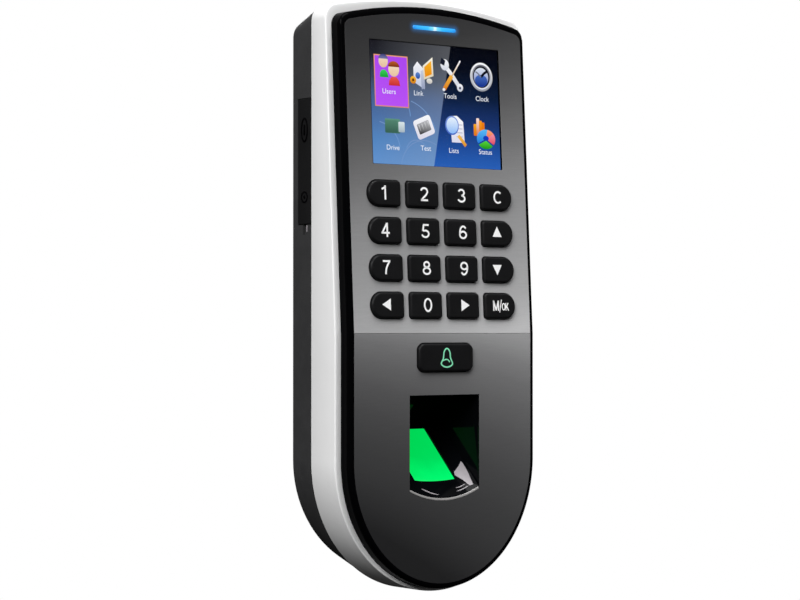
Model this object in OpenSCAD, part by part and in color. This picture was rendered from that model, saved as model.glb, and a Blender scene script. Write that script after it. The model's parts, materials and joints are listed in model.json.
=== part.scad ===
/* [Housing] */
// Overall width, across the white frame
body_w = 74; // [73.8:0.1:75]
// Depth from the wall to the lower front face
body_d = 26; // [26:0.1:27]
// Height of the top edge above the fold line
top_rise = 99.7; // [99.5:0.1:101]
// Drop of the bottom edge below the fold line
bottom_drop = 76.7; // [76.5:0.1:78]
// Backward tilt of the upper face, in degrees
slope = 3.1; // [2.8:0.1:3.4]
// Drop of the straight sides below the fold, where the bottom curve starts
side_drop = 37.5; // [36:0.1:39]
// Height of the rear cover, from the wall to the seam
rear_d = 9.7; // [9.7:0.1:10]
// How much the rear cover draws in at the top and bottom towards the wall
rear_taper = 3.8; // [2:0.1:4]
// Wall thickness of the rear cover
rear_wall = 2; // [1.8:0.1:2.2]

/* [Front] */
// Width of the black front cover
bezel_w = 69.24; // [69:0.01:69.4]
// Drop of the black front cover below the fold
bezel_drop = 75.66; // [75.5:0.01:75.9]
// Rise of the black front cover above the fold
bezel_rise = 97.4; // [97:0.1:97.8]
// Depth of the black side wall that shows in front of the white frame
bezel_depth = 4.26; // [4.2:0.01:4.6]
// Width of the gray front panels
panel_w = 66.4; // [66:0.1:66.6]
// Thickness of the gray front panels
panel_t = 1; // [0.8:0.1:1]
// Depth at which the front cover's front wall ends
cover_wall = 2.5; // [2.4:0.1:2.5]
// Width and height of the screen
screen = [48.96, 36.78]; // [30:0.01:52]
// Height of the screen's centre up the sloping face
screen_v = 68.15; // [68:0.05:68.3]
// Width and height of the light bar
light_bar = [16.4, 1.2]; // [1:0.1:20]
// Height of the light bar up the sloping face
light_v = 91.3; // [91:0.1:91.5]

/* [Keys] */
// Width and height of a keypad key
key_size = [11.7, 7.6]; // [7:0.1:12]
// Spacing of the keypad, across and up the face
key_pitch = [14.1, 10.96]; // [10:0.01:15]
// Height of the top row of keys up the sloping face
key_top_v = 41.1; // [41:0.1:41.2]
// How far the keys stand out of the panel
key_proud = 1; // [0.6:0.1:1.4]
// Travel of the keys
key_travel = 0.9; // [0.5:0.1:0.9]
// Width and height of the bell key
bell_size = [21, 8.3]; // [8:0.1:21]
// Drop of the bell key's centre below the fold
bell_drop = 7.15; // [7:0.05:7.3]

/* [Fingerprint recess] */
// Width of the recess
recess_w = 26.06; // [26:0.01:26.2]
// Drop of the recess's top edge below the fold
recess_top = 18.3; // [18.2:0.1:18.6]
// Drop of the recess's bottom corners below the fold
recess_low = 46.5; // [46:0.1:47]
// How far the recess's bottom edge bows down
recess_bow = 3.05; // [2.8:0.05:3.2]
// Tilt of the finger ramp from the vertical, in degrees
ramp_tilt = 45.9; // [45.9:0.1:46.2]
// Width and length of the finger window
platen = [15.56, 21.3]; // [15:0.01:22]
// Depth of the finger window's lower edge behind the face
platen_n = 5; // [5:0.1:5.2]

/* [Wall plate] */
// Thickness of the wall plate
plate_t = 1.2; // [1:0.1:1.2]
// Width of the wall plate
plate_w = 54; // [52:0.1:54]
// Wall screw spacing, across and up
wall_screws = [41, 100]; // [40:0.5:100]
// Radius of the wall screw holes
wall_hole_r = 2.1; // [1.6:0.1:2.4]
// Width and height of the cable opening
cable_port = [40, 34]; // [20:1:40]

/* [Port plug] */
// Distances of the plug's edges from the wall
plug_d = [2.5, 9.5]; // [2.4:0.1:9.6]
// Heights of the plug's ends above the fold
plug_v = [32.1, 69.3]; // [30:0.1:70]
// Thickness of the plug's flap
plug_t = 1.7; // [1.4:0.1:1.8]

/* [Hidden] */
$fn = 48;

body_h = top_rise + bottom_drop;
fold_z = bottom_drop - body_h / 2;
far = 2 * body_h;
gap = 0.1;
slice = 0.01;
bottom_steps = 48;
corner_steps = 6;
top_steps = 16;

// Body outline radii: arched top and top corners of the white frame and of the black cover
frame_top_r = 180;
frame_corner_r = 5;
bezel_top_r = 142;
bezel_corner_r = 3.8;
bezel_wall = 1.4;
skirt_n = 6.2;
panel_rise = 95.26;
panel_corner_r = 2.7;
panel_drop = bezel_drop - 1.5;
fold_gap = 0.1;

// Keys: the flange that holds a key in, its plunger, and the mat and board behind
key_gap = 0.25;
key_round = 1;
key_end_r = key_size[1] / 2 - 0.05;
key_bevel = 0.3;
flange_grow = 0.7;
mat_n = [4.3, 5.2];
flange_n = [cover_wall + 0.05, mat_n[0] - gap - key_travel];
pill_n = mat_n[1] - gap - key_travel;
pill_r = 1.9;
mat_hole_r = 2.6;
board_t = 1.2;
contact_t = 0.08;
contact_r = 2.2;
stake_r = 0.8;
stake_n = 6.9;
bell_bow = 0.9;
bell_round = 1.6;
pad_half_w = 28.2;
pad_v = [3, 45.6];
bell_pad = [28, 12.6];
bell_stake_x = 12.4;

// Screen stack
lcd_glass = [60, 42];
lcd_case = [62, 43.4];
lcd_n = [1.05, 2.5, 5];

// Fingerprint recess: section points are [depth behind the face, height above the fold]
liner_t = 1.2;
liner_front = 0.4;
ramp_dir = [sin(ramp_tilt), cos(ramp_tilt)];
groove_r = 40.7;
groove_z = -48.9;
ramp_z = groove_z + 0.15;
ramp_rise = cos(ramp_tilt) / sin(ramp_tilt);
hood_n = 6;
hood_end = [21, -27.5];
platen_low = [platen_n, ramp_z + platen_n * ramp_rise];
platen_high = platen_low + platen[1] * ramp_dir;
under_drop = 2.1;
housing_half_w = 11.6;
housing_wall = 1.4;
housing_n = [6, 21.8];
housing_low = -62;

// Main board, measured from the wall
board_d = [9.6, 11.2];
board_half_w = 27.8;
board_z = [-27, 80];
post_x = 24.5;
post_z = [-22, 76];
post_r = 2.6;

// Rear cover and wall plate
recess_d = 1.5;
floor_d = 3.5;
plate_z = [-50, 75];
tongue_w = 22;
tongue_z = -79;
plate_gap = 0.15;
plate_round = 4;
hook_x = 15;
hook_w = 8;
hook_z = [68, 72.5];
cable_z = 25;
wall_screw_z = 12;
head_cup = [4.6, 5.6, 4.7, 5.9];
tab_z = fold_z - 67.2;
tab_w = 12;
security_d = 6;
lip = [34.6, 33.4, 12.5];

// Casing screws: [across, above the fold]
SCREWS = [[-31.3, 12], [31.3, 12], [-30.3, -44], [30.3, -44]];
boss_r = 2.8;
rear_boss_r = 3.4;
screw_head = [2.2, 1.6];
screw_r = 1.05;
pilot_r = 1.1;
seat_d = 5.5;

// Sockets, switches and the speaker
usb_v = 60;
usb_size = [14, 5.7, 13.1];
mouth_x = -33.3;
reset_v = 40;
reset_d = 7.8;
reset_travel = 0.3;
reset_len = 4;
tamper = [-8, 54];
tamper_travel = 0.4;
tamper_bore_d = board_d[0] - 0.6;
speaker_at = [-21, -52.5];
speaker_r = 8;
battery_at = [-14, 12];
relay_at = [15, 12];

// ---------- shapes ----------

// Quarter circle of points about [x, z], starting at angle a0
function corner(x, z, r, a0) =
  [for (i = [0:corner_steps]) let (a = a0 + 90 * i / corner_steps) [x + r * cos(a), z + r * sin(a)]];

// Rectangle with rounded corners, of radius rl on the left and rr on the right
function rounded(w, h, rl, rr) = concat(
  corner(w / 2 - rr, h / 2 - rr, rr, 0),
  corner(rl - w / 2, h / 2 - rl, rl, 90),
  corner(rl - w / 2, rl - h / 2, rl, 180),
  corner(w / 2 - rr, rr - h / 2, rr, 270));

// The same points with the left and right sides bowed outwards
function bowed(points, w, h, bow) =
  [for (p = points) [p[0] * (1 - 2 * bow / w * pow(2 * p[1] / h, 2)), p[1]]];

// Angle at which a top corner arc meets the arched top
function meet(half, top_r, r) = atan2(sqrt(pow(top_r - r, 2) - pow(half - r, 2)), half - r);

// The arched top with its two rounded corners, from right to left
function arched_top(half, rise, top_r, r) =
  let (a = meet(half, top_r, r), cz = rise - top_r + (top_r - r) * sin(a))
  concat(
    [for (i = [0:corner_steps]) let (b = a * i / corner_steps) [half - r + r * cos(b), cz + r * sin(b)]],
    [for (i = [1:top_steps - 1]) let (b = a + (180 - 2 * a) * i / top_steps)
      [top_r * cos(b), rise - top_r + top_r * sin(b)]],
    [for (i = [0:corner_steps]) let (b = 180 - a + a * i / corner_steps)
      [r - half + r * cos(b), cz + r * sin(b)]]);

// The half ellipse at the bottom, from left to right
function round_bottom(half, drop) =
  [for (i = [0:bottom_steps]) let (b = 180 + 180 * i / bottom_steps)
    [half * cos(b), (drop - side_drop) * sin(b) - side_drop]];

// Whole outline of the body: round bottom, straight sides and arched top, about the fold line
function outline(half, rise, drop, top_r, r) =
  concat(round_bottom(half, drop), arched_top(half, rise, top_r, r));

function frame_outline(inset = 0, taper = 0) = outline(
  body_w / 2 - inset, top_rise - inset - taper, bottom_drop - inset - taper,
  frame_top_r, frame_corner_r - inset / 3);
function bezel_outline(inset = 0) = outline(
  bezel_w / 2 - inset, bezel_rise - inset, bezel_drop - inset, bezel_top_r, bezel_corner_r - inset / 2);
function panel_outline() = outline(panel_w / 2, panel_rise, panel_drop, bezel_top_r, panel_corner_r);

// Opening of the fingerprint recess, with its bowed lower edge
function recess_points(inset = 0) =
  let (half = recess_w / 2 - inset, r = (pow(half, 2) + pow(recess_bow, 2)) / (2 * recess_bow),
       a = asin(half / r), low = -recess_low - recess_bow + inset)
  concat(
    [[half, -recess_top - inset], [-half, -recess_top - inset]],
    [for (i = [0:top_steps]) let (b = 270 - a + 2 * a * i / top_steps) [r * cos(b), low + r + r * sin(b)]]);

// Section line of a ribbon cable that leaves one connector and curves over to the next
function ribbon(from, to, t) =
  let (steps = 10, line = [for (i = [0:steps]) let (s = i / steps, e = s * s * (3 - 2 * s))
    [from[0] + (to[0] - from[0]) * s, from[1] + (to[1] - from[1]) * e]])
  concat(line, [for (i = [steps:-1:0]) line[i] + [0, t]]);

// ---------- placing ----------

// Sloping upper face: x across, y into the body, z up the slope
module upper() translate([0, -body_d, fold_z]) rotate([-slope, 0, 0]) children();

// Upright lower face: x across, y into the body, z above the fold
module lower() translate([0, -body_d, fold_z]) children();

// A flat shape of points in x and z, from depth n0 to depth n1
module plate(points, n0, n1)
  translate([0, n1, 0]) rotate([90, 0, 0]) linear_extrude(n1 - n0) polygon(points);

// A shape of points in depth and height, across the body from x0 to x1
module section(points, x0, x1)
  translate([x0, 0, 0]) rotate([90, 0, 90]) linear_extrude(x1 - x0) polygon(points);

// A body outline between two distances from the wall
module column(points, d0, d1) translate([0, 0, fold_z]) plate(points, -d1, -d0);

// Everything behind the folded front surface, moved inwards by n
module behind_face(n) section([
  [n - body_d, -far],
  [n - body_d, fold_z - n * tan(slope / 2)],
  [n * cos(slope) + far * sin(slope) - body_d, fold_z - n * sin(slope) + far * cos(slope)],
  [far, fold_z + far],
  [far, -far]], -far, far);

// A round pin along the depth, from n0 to n1
module pin(x, z, r, n0, n1) translate([x, n1, z]) rotate([90, 0, 0]) cylinder(r = r, h = n1 - n0);

// A round pin between two distances from the wall, with its height above the origin
module wall_pin(x, z, r, d0, d1) pin(x, z, r, -d1, -d0);

// A block between two distances from the wall, centred on x and z
module wall_block(x, z, size, d0, d1)
  translate([x - size[0] / 2, -d1, z - size[1] / 2]) cube([size[0], d1 - d0, size[1]]);

// The four wall screws, as round pins between two distances from the wall
module at_wall_screws(r, d0, d1) for (x = [-0.5, 0.5], z = [-0.5, 0.5])
  wall_pin(x * wall_screws[0], wall_screw_z + z * wall_screws[1], r, d0, d1);

function key_x(col) = (col - 1.5) * key_pitch[0];
function key_v(row) = key_top_v - row * key_pitch[1];

// Outline of a keypad key: round at the pad's left and right ends
function key_points(col, grow) = rounded(
  key_size[0] + 2 * grow, key_size[1] + 2 * grow,
  (col == 0 ? key_end_r : key_round) + grow, (col == 3 ? key_end_r : key_round) + grow);
function bell_points(grow) = bowed(
  rounded(bell_size[0] + 2 * grow, bell_size[1] + 2 * grow, bell_round + grow, bell_round + grow),
  bell_size[0] + 2 * grow, bell_size[1] + 2 * grow, bell_bow);

module at_key(col, row) translate([key_x(col), 0, key_v(row)]) children();
module key_holes(grow, n0, n1)
  for (col = [0:3], row = [0:3]) at_key(col, row) plate(key_points(col, grow), n0, n1);

// ---------- shells ----------

module plate_shape(grow, d0, d1) {
  mid = (plate_z[0] + plate_z[1]) / 2;
  tall = plate_z[1] - plate_z[0] + 2 * grow;
  translate([0, 0, mid]) plate(rounded(plate_w + 2 * grow, tall, plate_round, plate_round), -d1, -d0);
  low = tongue_z - grow;
  high = plate_z[0] + plate_round;
  translate([0, 0, (low + high) / 2])
    plate(rounded(tongue_w + 2 * grow, high - low, plate_round, plate_round), -d1, -d0);
}

module wall_plate() color("silver") difference() {
  union() {
    plate_shape(0, 0, plate_t);
    for (x = [-hook_x, hook_x]) {
      wall_block(x, hook_z[0] + plate_t / 2, [hook_w, plate_t], plate_t - slice, floor_d + gap + plate_t);
      wall_block(x, (hook_z[0] + hook_z[1]) / 2, [hook_w, hook_z[1] - hook_z[0]],
        floor_d + gap, floor_d + gap + plate_t);
    }
    wall_block(0, tab_z, [tab_w, plate_t], plate_t - slice, 2 * security_d - floor_d);
  }
  at_wall_screws(wall_hole_r, -1, plate_t + 1);
  translate([0, 0, cable_z]) plate(rounded(cable_port[0], cable_port[1], 3, 3), -plate_t - 1, 1);
  translate([0, -security_d, tab_z - 2]) cylinder(r = 1.55, h = 4);
}

// Outside of the rear cover: full size at the seam, drawn in at the wall
module rear_shell(inset, d0, d1)
  hull() {
    column(frame_outline(inset + 0.2, rear_taper * (1 - d0 / rear_d)), d0, d0 + slice);
    column(frame_outline(inset + 0.2, rear_taper * (1 - d1 / rear_d)), d1 - slice, d1);
  }

module rear_cover() color([0.2, 0.2, 0.21]) difference() {
  union() {
    difference() {
      rear_shell(0, 0, rear_d);
      rear_shell(rear_wall, floor_d, rear_d + slice);
    }
    difference() {
      column(bezel_outline(bezel_w / 2 - lip[0]), rear_d - 1, lip[2]);
      column(bezel_outline(bezel_w / 2 - lip[1]), rear_d - 2, lip[2] + 1);
      for (p = SCREWS) wall_pin(p[0], p[1] + fold_z, boss_r + 0.3, rear_d, lip[2] + 1);
    }
    for (p = SCREWS) wall_pin(p[0], p[1] + fold_z, rear_boss_r, floor_d - 1, rear_d);
    for (x = [-post_x, post_x], z = post_z) wall_pin(x, z, post_r, floor_d - 1, board_d[0]);
    at_wall_screws(head_cup[1], recess_d, head_cup[3]);
    translate([0, -security_d, fold_z - bottom_drop + 3.2]) cylinder(r = 3.6, h = 4);
  }
  plate_shape(plate_gap, -1, recess_d);
  at_wall_screws(head_cup[0], recess_d - 1, head_cup[2]);
  for (p = SCREWS) {
    wall_pin(p[0], p[1] + fold_z, 2.5, -1, seat_d);
    wall_pin(p[0], p[1] + fold_z, 1.35, seat_d - 1, rear_d + 1);
  }
  for (x = [-post_x, post_x], z = post_z) wall_pin(x, z, 1, board_d[0] - 4.4, board_d[0] + 1);
  for (x = [-hook_x, hook_x]) wall_block(x, hook_z[0] - 1.7, [hook_w + 0.6, 6.2], 0, floor_d + 1);
  wall_block(0, tab_z, [tab_w + 0.6, plate_t + 0.6], 0, floor_d + 1);
  translate([0, 0, cable_z]) plate(rounded(cable_port[0], cable_port[1], 3, 3), -floor_d - 1, 1);
  wall_pin(tamper[0], tamper[1], 2, 0, floor_d + 1);
  for (i = [-2:2])
    wall_block(speaker_at[0], speaker_at[1] + fold_z + 2.2 * i, [11 - 2 * abs(i), 1], -1, floor_d + 1);
  translate([0, -security_d, fold_z - bottom_drop - 1]) cylinder(r = 2.9, h = 4.2);
  translate([0, -security_d, fold_z - bottom_drop]) cylinder(r = 1.7, h = 9);
  plug_window();
}

// The side window that the port plug closes, and the nick that a fingernail opens it by
module plug_window() {
  mid_d = (plug_d[0] + rear_d) / 2;
  translate([-body_w / 2 - 1, -rear_d - 1, fold_z + plug_v[0] - gap])
    cube([rear_wall + 2, rear_d - plug_d[0] + gap + 1, plug_v[1] - plug_v[0] + 2 * gap]);
  translate([-body_w / 2 - 1, -mid_d - 1, fold_z + plug_v[0] - 3]) cube([2, 2, 4]);
}

module mid_frame() color([0.9, 0.9, 0.9]) difference() {
  intersection() {
    column(frame_outline(), rear_d, body_d);
    behind_face(bezel_depth);
  }
  column(bezel_outline(-0.08), rear_d - 1, body_d + 1);
}

module front_cover() color([0.05, 0.05, 0.06]) difference() {
  union() {
    difference() {
      intersection() {
        column(bezel_outline(), rear_d, body_d + 1);
        behind_face(0);
      }
      behind_face(skirt_n);
      intersection() {
        column(bezel_outline(bezel_wall), rear_d - 1, body_d + 1);
        behind_face(cover_wall);
      }
    }
    intersection() {
      for (p = SCREWS) wall_pin(p[0], p[1] + fold_z, boss_r, rear_d, body_d);
      column(bezel_outline(0.2), rear_d, body_d);
      behind_face(cover_wall - 0.5);
    }
    upper() for (x = [-1, 1], row = [0, 2])
      pin(x * key_pitch[0], key_v(row) - key_pitch[1] / 2, stake_r, cover_wall - 0.5, stake_n);
    lower() for (x = [-1, 1]) pin(x * bell_stake_x, -bell_drop, stake_r, cover_wall - 0.5, stake_n);
  }
  difference() {
    column(panel_outline(), rear_d, body_d + 1);
    behind_face(panel_t);
  }
  upper() {
    key_holes(key_gap + 0.1, 0, cover_wall + 1);
    translate([0, 0, screen_v])
      plate(rounded(lcd_glass[0] + 0.3, lcd_glass[1] + 0.3, 0.5, 0.5), 0, cover_wall + 1);
    translate([0, 0, light_v]) plate(light_points(gap), 0, cover_wall + 1);
  }
  lower() {
    translate([0, 0, -bell_drop]) plate(bell_points(key_gap + 0.1), 0, cover_wall + 1);
    translate([-recess_w / 2 - liner_t - gap, 0, -51.7])
      cube([recess_w + 2 * liner_t + 2 * gap, cover_wall + 1, 34.9]);
  }
  for (p = SCREWS) wall_pin(p[0], p[1] + fold_z, pilot_r, rear_d - 1, rear_d + 7.5);
}

// ---------- panels and windows ----------

function light_points(grow) = let (r = light_bar[1] / 2 - 0.05 + grow)
  rounded(light_bar[0] + 2 * grow, light_bar[1] + 2 * grow, r, r);

// A sheet of the panels' thickness that follows the folded front surface, between two heights
module panel_sheet(z0, z1) difference() {
  intersection() {
    column(panel_outline(), rear_d, body_d + 1);
    behind_face(0);
    translate([-body_w, -far, fold_z + z0]) cube([2 * body_w, 2 * far, z1 - z0]);
  }
  behind_face(panel_t);
}

module upper_panel() color([0.45, 0.45, 0.46]) difference() {
  panel_sheet(fold_gap / 2, far);
  upper() {
    key_holes(key_gap, -1, panel_t + 1);
    translate([0, 0, screen_v]) plate(rounded(screen[0], screen[1], 0.3, 0.3), -1, panel_t + 1);
    translate([0, 0, light_v]) plate(light_points(0), -1, panel_t + 1);
  }
}

module lower_panel() color([0.3, 0.3, 0.31]) difference() {
  panel_sheet(-far, -fold_gap / 2);
  lower() {
    translate([0, 0, -bell_drop]) plate(bell_points(key_gap), -1, panel_t + 1);
    plate(recess_points(), -1, panel_t + 1);
  }
}

module screen_window() color([0.1, 0.25, 0.6, 0.6]) upper() translate([0, 0, screen_v])
  plate(rounded(screen[0] - gap, screen[1] - gap, 0.3, 0.3), 0, panel_t);

module led_window() color([0.3, 0.7, 1]) upper() translate([0, 0, light_v])
  plate(light_points(-0.05), 0, cover_wall);

// ---------- keys ----------

// A key cap with a bevelled front, a flange that stays behind the cover, and its carbon pill
module key_body(points_a, points_b, points_c) {
  plate(points_a, key_bevel - key_proud, flange_n[1]);
  plate(points_b, -key_proud, key_bevel - key_proud);
  plate(points_c, flange_n[0], flange_n[1]);
  pin(0, 0, pill_r, flange_n[1], pill_n);
}

module keypad_key(col, row) color([0.09, 0.09, 0.1]) upper() at_key(col, row)
  key_body(key_points(col, 0), key_points(col, -key_bevel), key_points(col, flange_grow));

module key_bell() color([0.09, 0.09, 0.1]) lower() translate([0, 0, -bell_drop])
  key_body(bell_points(0), bell_points(-key_bevel), bell_points(flange_grow));

module keypad_mat() color([0.75, 0.76, 0.78]) upper() difference() {
  translate([-pad_half_w, mat_n[0], pad_v[0]])
    cube([2 * pad_half_w, mat_n[1] - mat_n[0], pad_v[1] - pad_v[0]]);
  for (col = [0:3], row = [0:3]) pin(key_x(col), key_v(row), mat_hole_r, 0, mat_n[1] + 1);
  for (x = [-1, 1], row = [0, 2]) pin(x * key_pitch[0], key_v(row) - key_pitch[1] / 2, 1, 0, mat_n[1] + 1);
}

module keypad_board() color([0.05, 0.35, 0.15]) upper() difference() {
  translate([-pad_half_w, mat_n[1], pad_v[0]]) cube([2 * pad_half_w, board_t, pad_v[1] - pad_v[0]]);
  for (x = [-1, 1], row = [0, 2]) pin(x * key_pitch[0], key_v(row) - key_pitch[1] / 2, 0.9, 0, mat_n[1] + 2);
}

module key_contacts() color("gold") {
  upper() for (col = [0:3], row = [0:3]) pin(key_x(col), key_v(row), contact_r, mat_n[1] - contact_t, mat_n[1]);
  lower() pin(0, -bell_drop, contact_r, mat_n[1] - contact_t, mat_n[1]);
}

module bell_mat() color([0.75, 0.76, 0.78]) lower() difference() {
  translate([-bell_pad[0] / 2, mat_n[0], -bell_drop - bell_pad[1] / 2])
    cube([bell_pad[0], mat_n[1] - mat_n[0], bell_pad[1]]);
  pin(0, -bell_drop, mat_hole_r, 0, mat_n[1] + 1);
  for (x = [-1, 1]) pin(x * bell_stake_x, -bell_drop, 1, 0, mat_n[1] + 1);
}

module bell_board() color([0.05, 0.35, 0.15]) lower() difference() {
  translate([-bell_pad[0] / 2, mat_n[1], -bell_drop - bell_pad[1] / 2])
    cube([bell_pad[0], board_t, bell_pad[1]]);
  for (x = [-1, 1]) pin(x * bell_stake_x, -bell_drop, 0.9, 0, mat_n[1] + 2);
}

// ---------- screen ----------

module lcd_panel() color([0.1, 0.2, 0.5]) upper() translate([0, 0, screen_v])
  plate(rounded(lcd_glass[0], lcd_glass[1], 0.4, 0.4), lcd_n[0], lcd_n[1]);

module lcd_frame() color("white") upper() translate([0, 0, screen_v]) difference() {
  plate(rounded(lcd_case[0], lcd_case[1], 0.8, 0.8), lcd_n[1] + 0.05, lcd_n[2]);
  plate(rounded(lcd_case[0] - 8, lcd_case[1] - 8, 1, 1), lcd_n[2] - 0.4, lcd_n[2] + 1);
}

module lcd_flex() color([0.8, 0.5, 0.15]) {
  low = fold_z + screen_v - lcd_case[1] / 2;
  from = [-16.9, low + 4];
  to = [-board_d[1] - 2, low - 6];
  section(ribbon(from, to, 0.2), -9, 9);
  translate([-10, -board_d[1] - 2, low - 8]) cube([20, 2, 4]);
}

module led_board() color([0.05, 0.35, 0.15]) upper() {
  translate([-11, 3.6, light_v - 0.9]) cube([22, 1, 4.2]);
  for (x = [-5, 0, 5]) translate([x - 0.9, 2.9, light_v - 0.5]) cube([1.8, 0.7, 1]);
}

// ---------- fingerprint sensor ----------

// Curve of the recess's hood, from the top edge round to the back
function hood(grow) = [for (i = [0:top_steps]) let (b = 90 - 90 * i / top_steps)
  [hood_n + (hood_end[0] - hood_n + grow) * cos(b), hood_end[1] + (grow - recess_top - hood_end[1]) * sin(b)]];

module sensor_bezel() color([0.04, 0.04, 0.05]) lower() difference() {
  union() {
    section(concat([[panel_t + 0.05, liner_t - recess_top]], hood(liner_t), [
      [hood_end[0] + liner_t, ramp_z - under_drop + (hood_end[0] + liner_t) * ramp_rise],
      [3.5, ramp_z - under_drop + 3.5 * ramp_rise],
      [3.5, -51.5],
      [panel_t + 0.05, -51.5]]), -recess_w / 2 - liner_t, recess_w / 2 + liner_t);
    intersection() {
      plate(recess_points(0.05), liner_front, panel_t + 0.1);
      translate([-recess_w, 0, -53]) cube([2 * recess_w, 3, 8]);
    }
  }
  intersection() {
    section(concat([[-3, -recess_top]], hood(0), [[hood_end[0], -60], [-3, -60]]), -recess_w / 2, recess_w / 2);
    translate([0, -groove_r * ramp_dir[1], groove_z + groove_r * ramp_dir[0]])
      rotate([-ramp_tilt, 0, 0]) cylinder(r = groove_r, h = 120, center = true, $fn = 120);
  }
  translate([0, platen_low[0], platen_low[1]]) rotate([-ramp_tilt, 0, 0])
    translate([-platen[0] / 2 - gap, -3, -gap]) cube([platen[0] + 2 * gap, 6, platen[1] + 2 * gap]);
}

module sensor_prism() color([0, 0.88, 0.36]) lower() section([
  platen_low, platen_high, [platen_high[0], platen_low[1]]], -platen[0] / 2, platen[0] / 2);

module sensor_housing() color([0.12, 0.12, 0.13]) lower() difference() {
  section([
    [housing_n[0], housing_low],
    [housing_n[1], housing_low],
    [housing_n[1], ramp_z - under_drop - gap + housing_n[1] * ramp_rise],
    [housing_n[0], ramp_z - under_drop - gap + housing_n[0] * ramp_rise]], -housing_half_w, housing_half_w);
  difference() {
    translate([housing_wall - housing_half_w, housing_n[0] + 1.2, housing_low + 1.1])
      cube([2 * (housing_half_w - housing_wall), housing_n[1] - housing_n[0] - 2.4, 40]);
    translate([-housing_half_w, 0, -51]) cube([2 * housing_half_w, 30, 1.5]);
  }
  translate([0, 13.5, -55]) cylinder(r = 3.65, h = 8);
  translate([0, 12, housing_low + 1.6]) cube([20, 5.4, 1.6]);
}

module sensor_lens() color([0.2, 0.2, 0.3]) lower() translate([0, 13.5, -53.5]) difference() {
  cylinder(r = 3.6, h = 7);
  translate([0, 0, -1]) cylinder(r = 1.6, h = 9);
  translate([0, 0, 5.4]) cylinder(r = 2.9, h = 3);
}

module sensor_board() color([0.05, 0.35, 0.15]) lower() {
  translate([-9.8, 7.5, -60.85]) cube([19.6, 12.8, 1.2]);
  translate([-3, 10.5, -59.65]) cube([6, 6, 1]);
}

module sensor_leds() color([0.7, 1, 0.7]) lower() for (side = [-1, 1]) {
  section([[12, -43], [19.6, -43], [19.6, -33], [12, -40.5]], side * 9.4 - 0.4, side * 9.4 + 0.4);
  for (n = [14, 16, 18]) translate([side * 8.6 - 0.4, n - 0.6, -41.6]) cube([0.8, 1.2, 1.6]);
}

module sensor_cable() color([0.85, 0.85, 0.82])
  translate([0, -9, fold_z]) rotate([90, 0, 0]) linear_extrude(4.5) polygon([
    [10.4, -60.3], [13, -60.3], [15.2, -58.6], [15.8, -56.5], [15.8, -18], [15.2, -17.2],
    [15.2, -56.4], [14.7, -58.2], [12.8, -59.7], [10.4, -59.7]]);

// ---------- main electronics ----------

module main_board() color([0.05, 0.35, 0.15]) difference() {
  wall_block(0, (board_z[0] + board_z[1]) / 2, [2 * board_half_w, board_z[1] - board_z[0]],
    board_d[0], board_d[1]);
  for (x = [-post_x, post_x], z = post_z) wall_pin(x, z, 1.1, 0, body_d);
}

module main_chips() color([0.08, 0.08, 0.09]) {
  d = board_d[1];
  wall_block(4, 60, [14, 14], d, d + 1.4);
  wall_block(-13, 62, [10, 8], d, d + 1.2);
  wall_block(-13, 50, [10, 6], d, d + 1.2);
  wall_block(18, 42, [7, 7], d, d + 3);
  wall_block(-22, 32, [5, 6.2], d, d + 1.5);
  wall_block(22, -6, [6, 5], d, d + 1.5);
  wall_block(15.5, -22, [7, 5], d, d + 2.5);
}

module capacitors() color([0.15, 0.2, 0.5]) for (p = [[20, 60], [20, 70], [-22, 0], [-22, -9]])
  wall_pin(p[0], p[1], 3.1, board_d[1], board_d[1] + 4.6);

module relay() color([0.1, 0.25, 0.55])
  wall_block(relay_at[0], relay_at[1], [10, 19], board_d[1], board_d[1] + 4.8);

// Three row headers that the wall cable plugs onto
module terminal_headers() color([0.9, 0.88, 0.8]) for (x = [-13.4, 0, 13.4]) {
  difference() {
    wall_block(x, cable_z + 10, [12, 7.4], floor_d + 0.2, board_d[0]);
    wall_block(x, cable_z + 10, [10.4, 5.8], floor_d - 1, board_d[0] - 1);
    wall_block(x, cable_z + 6.6, [4, 3], floor_d - 1, board_d[0] - 1);
  }
  for (i = [-1.5:1.5]) wall_block(x + 2.5 * i, cable_z + 10, [0.64, 0.64], floor_d + 0.8, board_d[0] - 1);
}

module usb_socket() color("silver") {
  z = fold_z + usb_v;
  mid_x = mouth_x + usb_size[0] / 2;
  translate([mouth_x, -board_d[0], z - usb_size[2] / 2]) difference() {
    cube(usb_size);
    translate([-1, 0.4, 0.4]) cube([usb_size[0] - 1, usb_size[1] - 0.8, usb_size[2] - 0.8]);
  }
  translate([mouth_x + 1, -board_d[0] + 3.2, z - 5.6]) cube([usb_size[0] - 2.5, 1.8, 11.2]);
  translate([mid_x + 4.6, -board_d[0] + 0.4, z - 5.6]) cube([1.6, 4.4, 11.2]);
}

module reset_switch() color([0.1, 0.1, 0.1]) difference() {
  wall_block(mouth_x + 3.8, fold_z + reset_v, [3.4, 6], reset_d - 1.8, board_d[0]);
  translate([mouth_x, -reset_d, fold_z + reset_v]) rotate([0, 90, 0])
    cylinder(r = 1.05, h = 0.6 + reset_len + reset_travel + gap);
}

module reset_button() color([0.85, 0.85, 0.85])
  translate([mouth_x + 0.6, -reset_d, fold_z + reset_v]) rotate([0, 90, 0]) cylinder(r = 1, h = reset_len);

module speaker() color([0.15, 0.15, 0.15]) translate([0, 0, fold_z]) difference() {
  wall_pin(speaker_at[0], speaker_at[1], speaker_r, floor_d, floor_d + 4);
  wall_pin(speaker_at[0], speaker_at[1], speaker_r - 1, floor_d - 1, floor_d + 0.8);
}

module battery_holder() color([0.92, 0.92, 0.9]) difference() {
  wall_block(battery_at[0], battery_at[1], [18, 16], board_d[1], board_d[1] + 4.2);
  wall_pin(battery_at[0], battery_at[1], 6.4, board_d[1] + 1, board_d[1] + 5);
}

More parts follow.
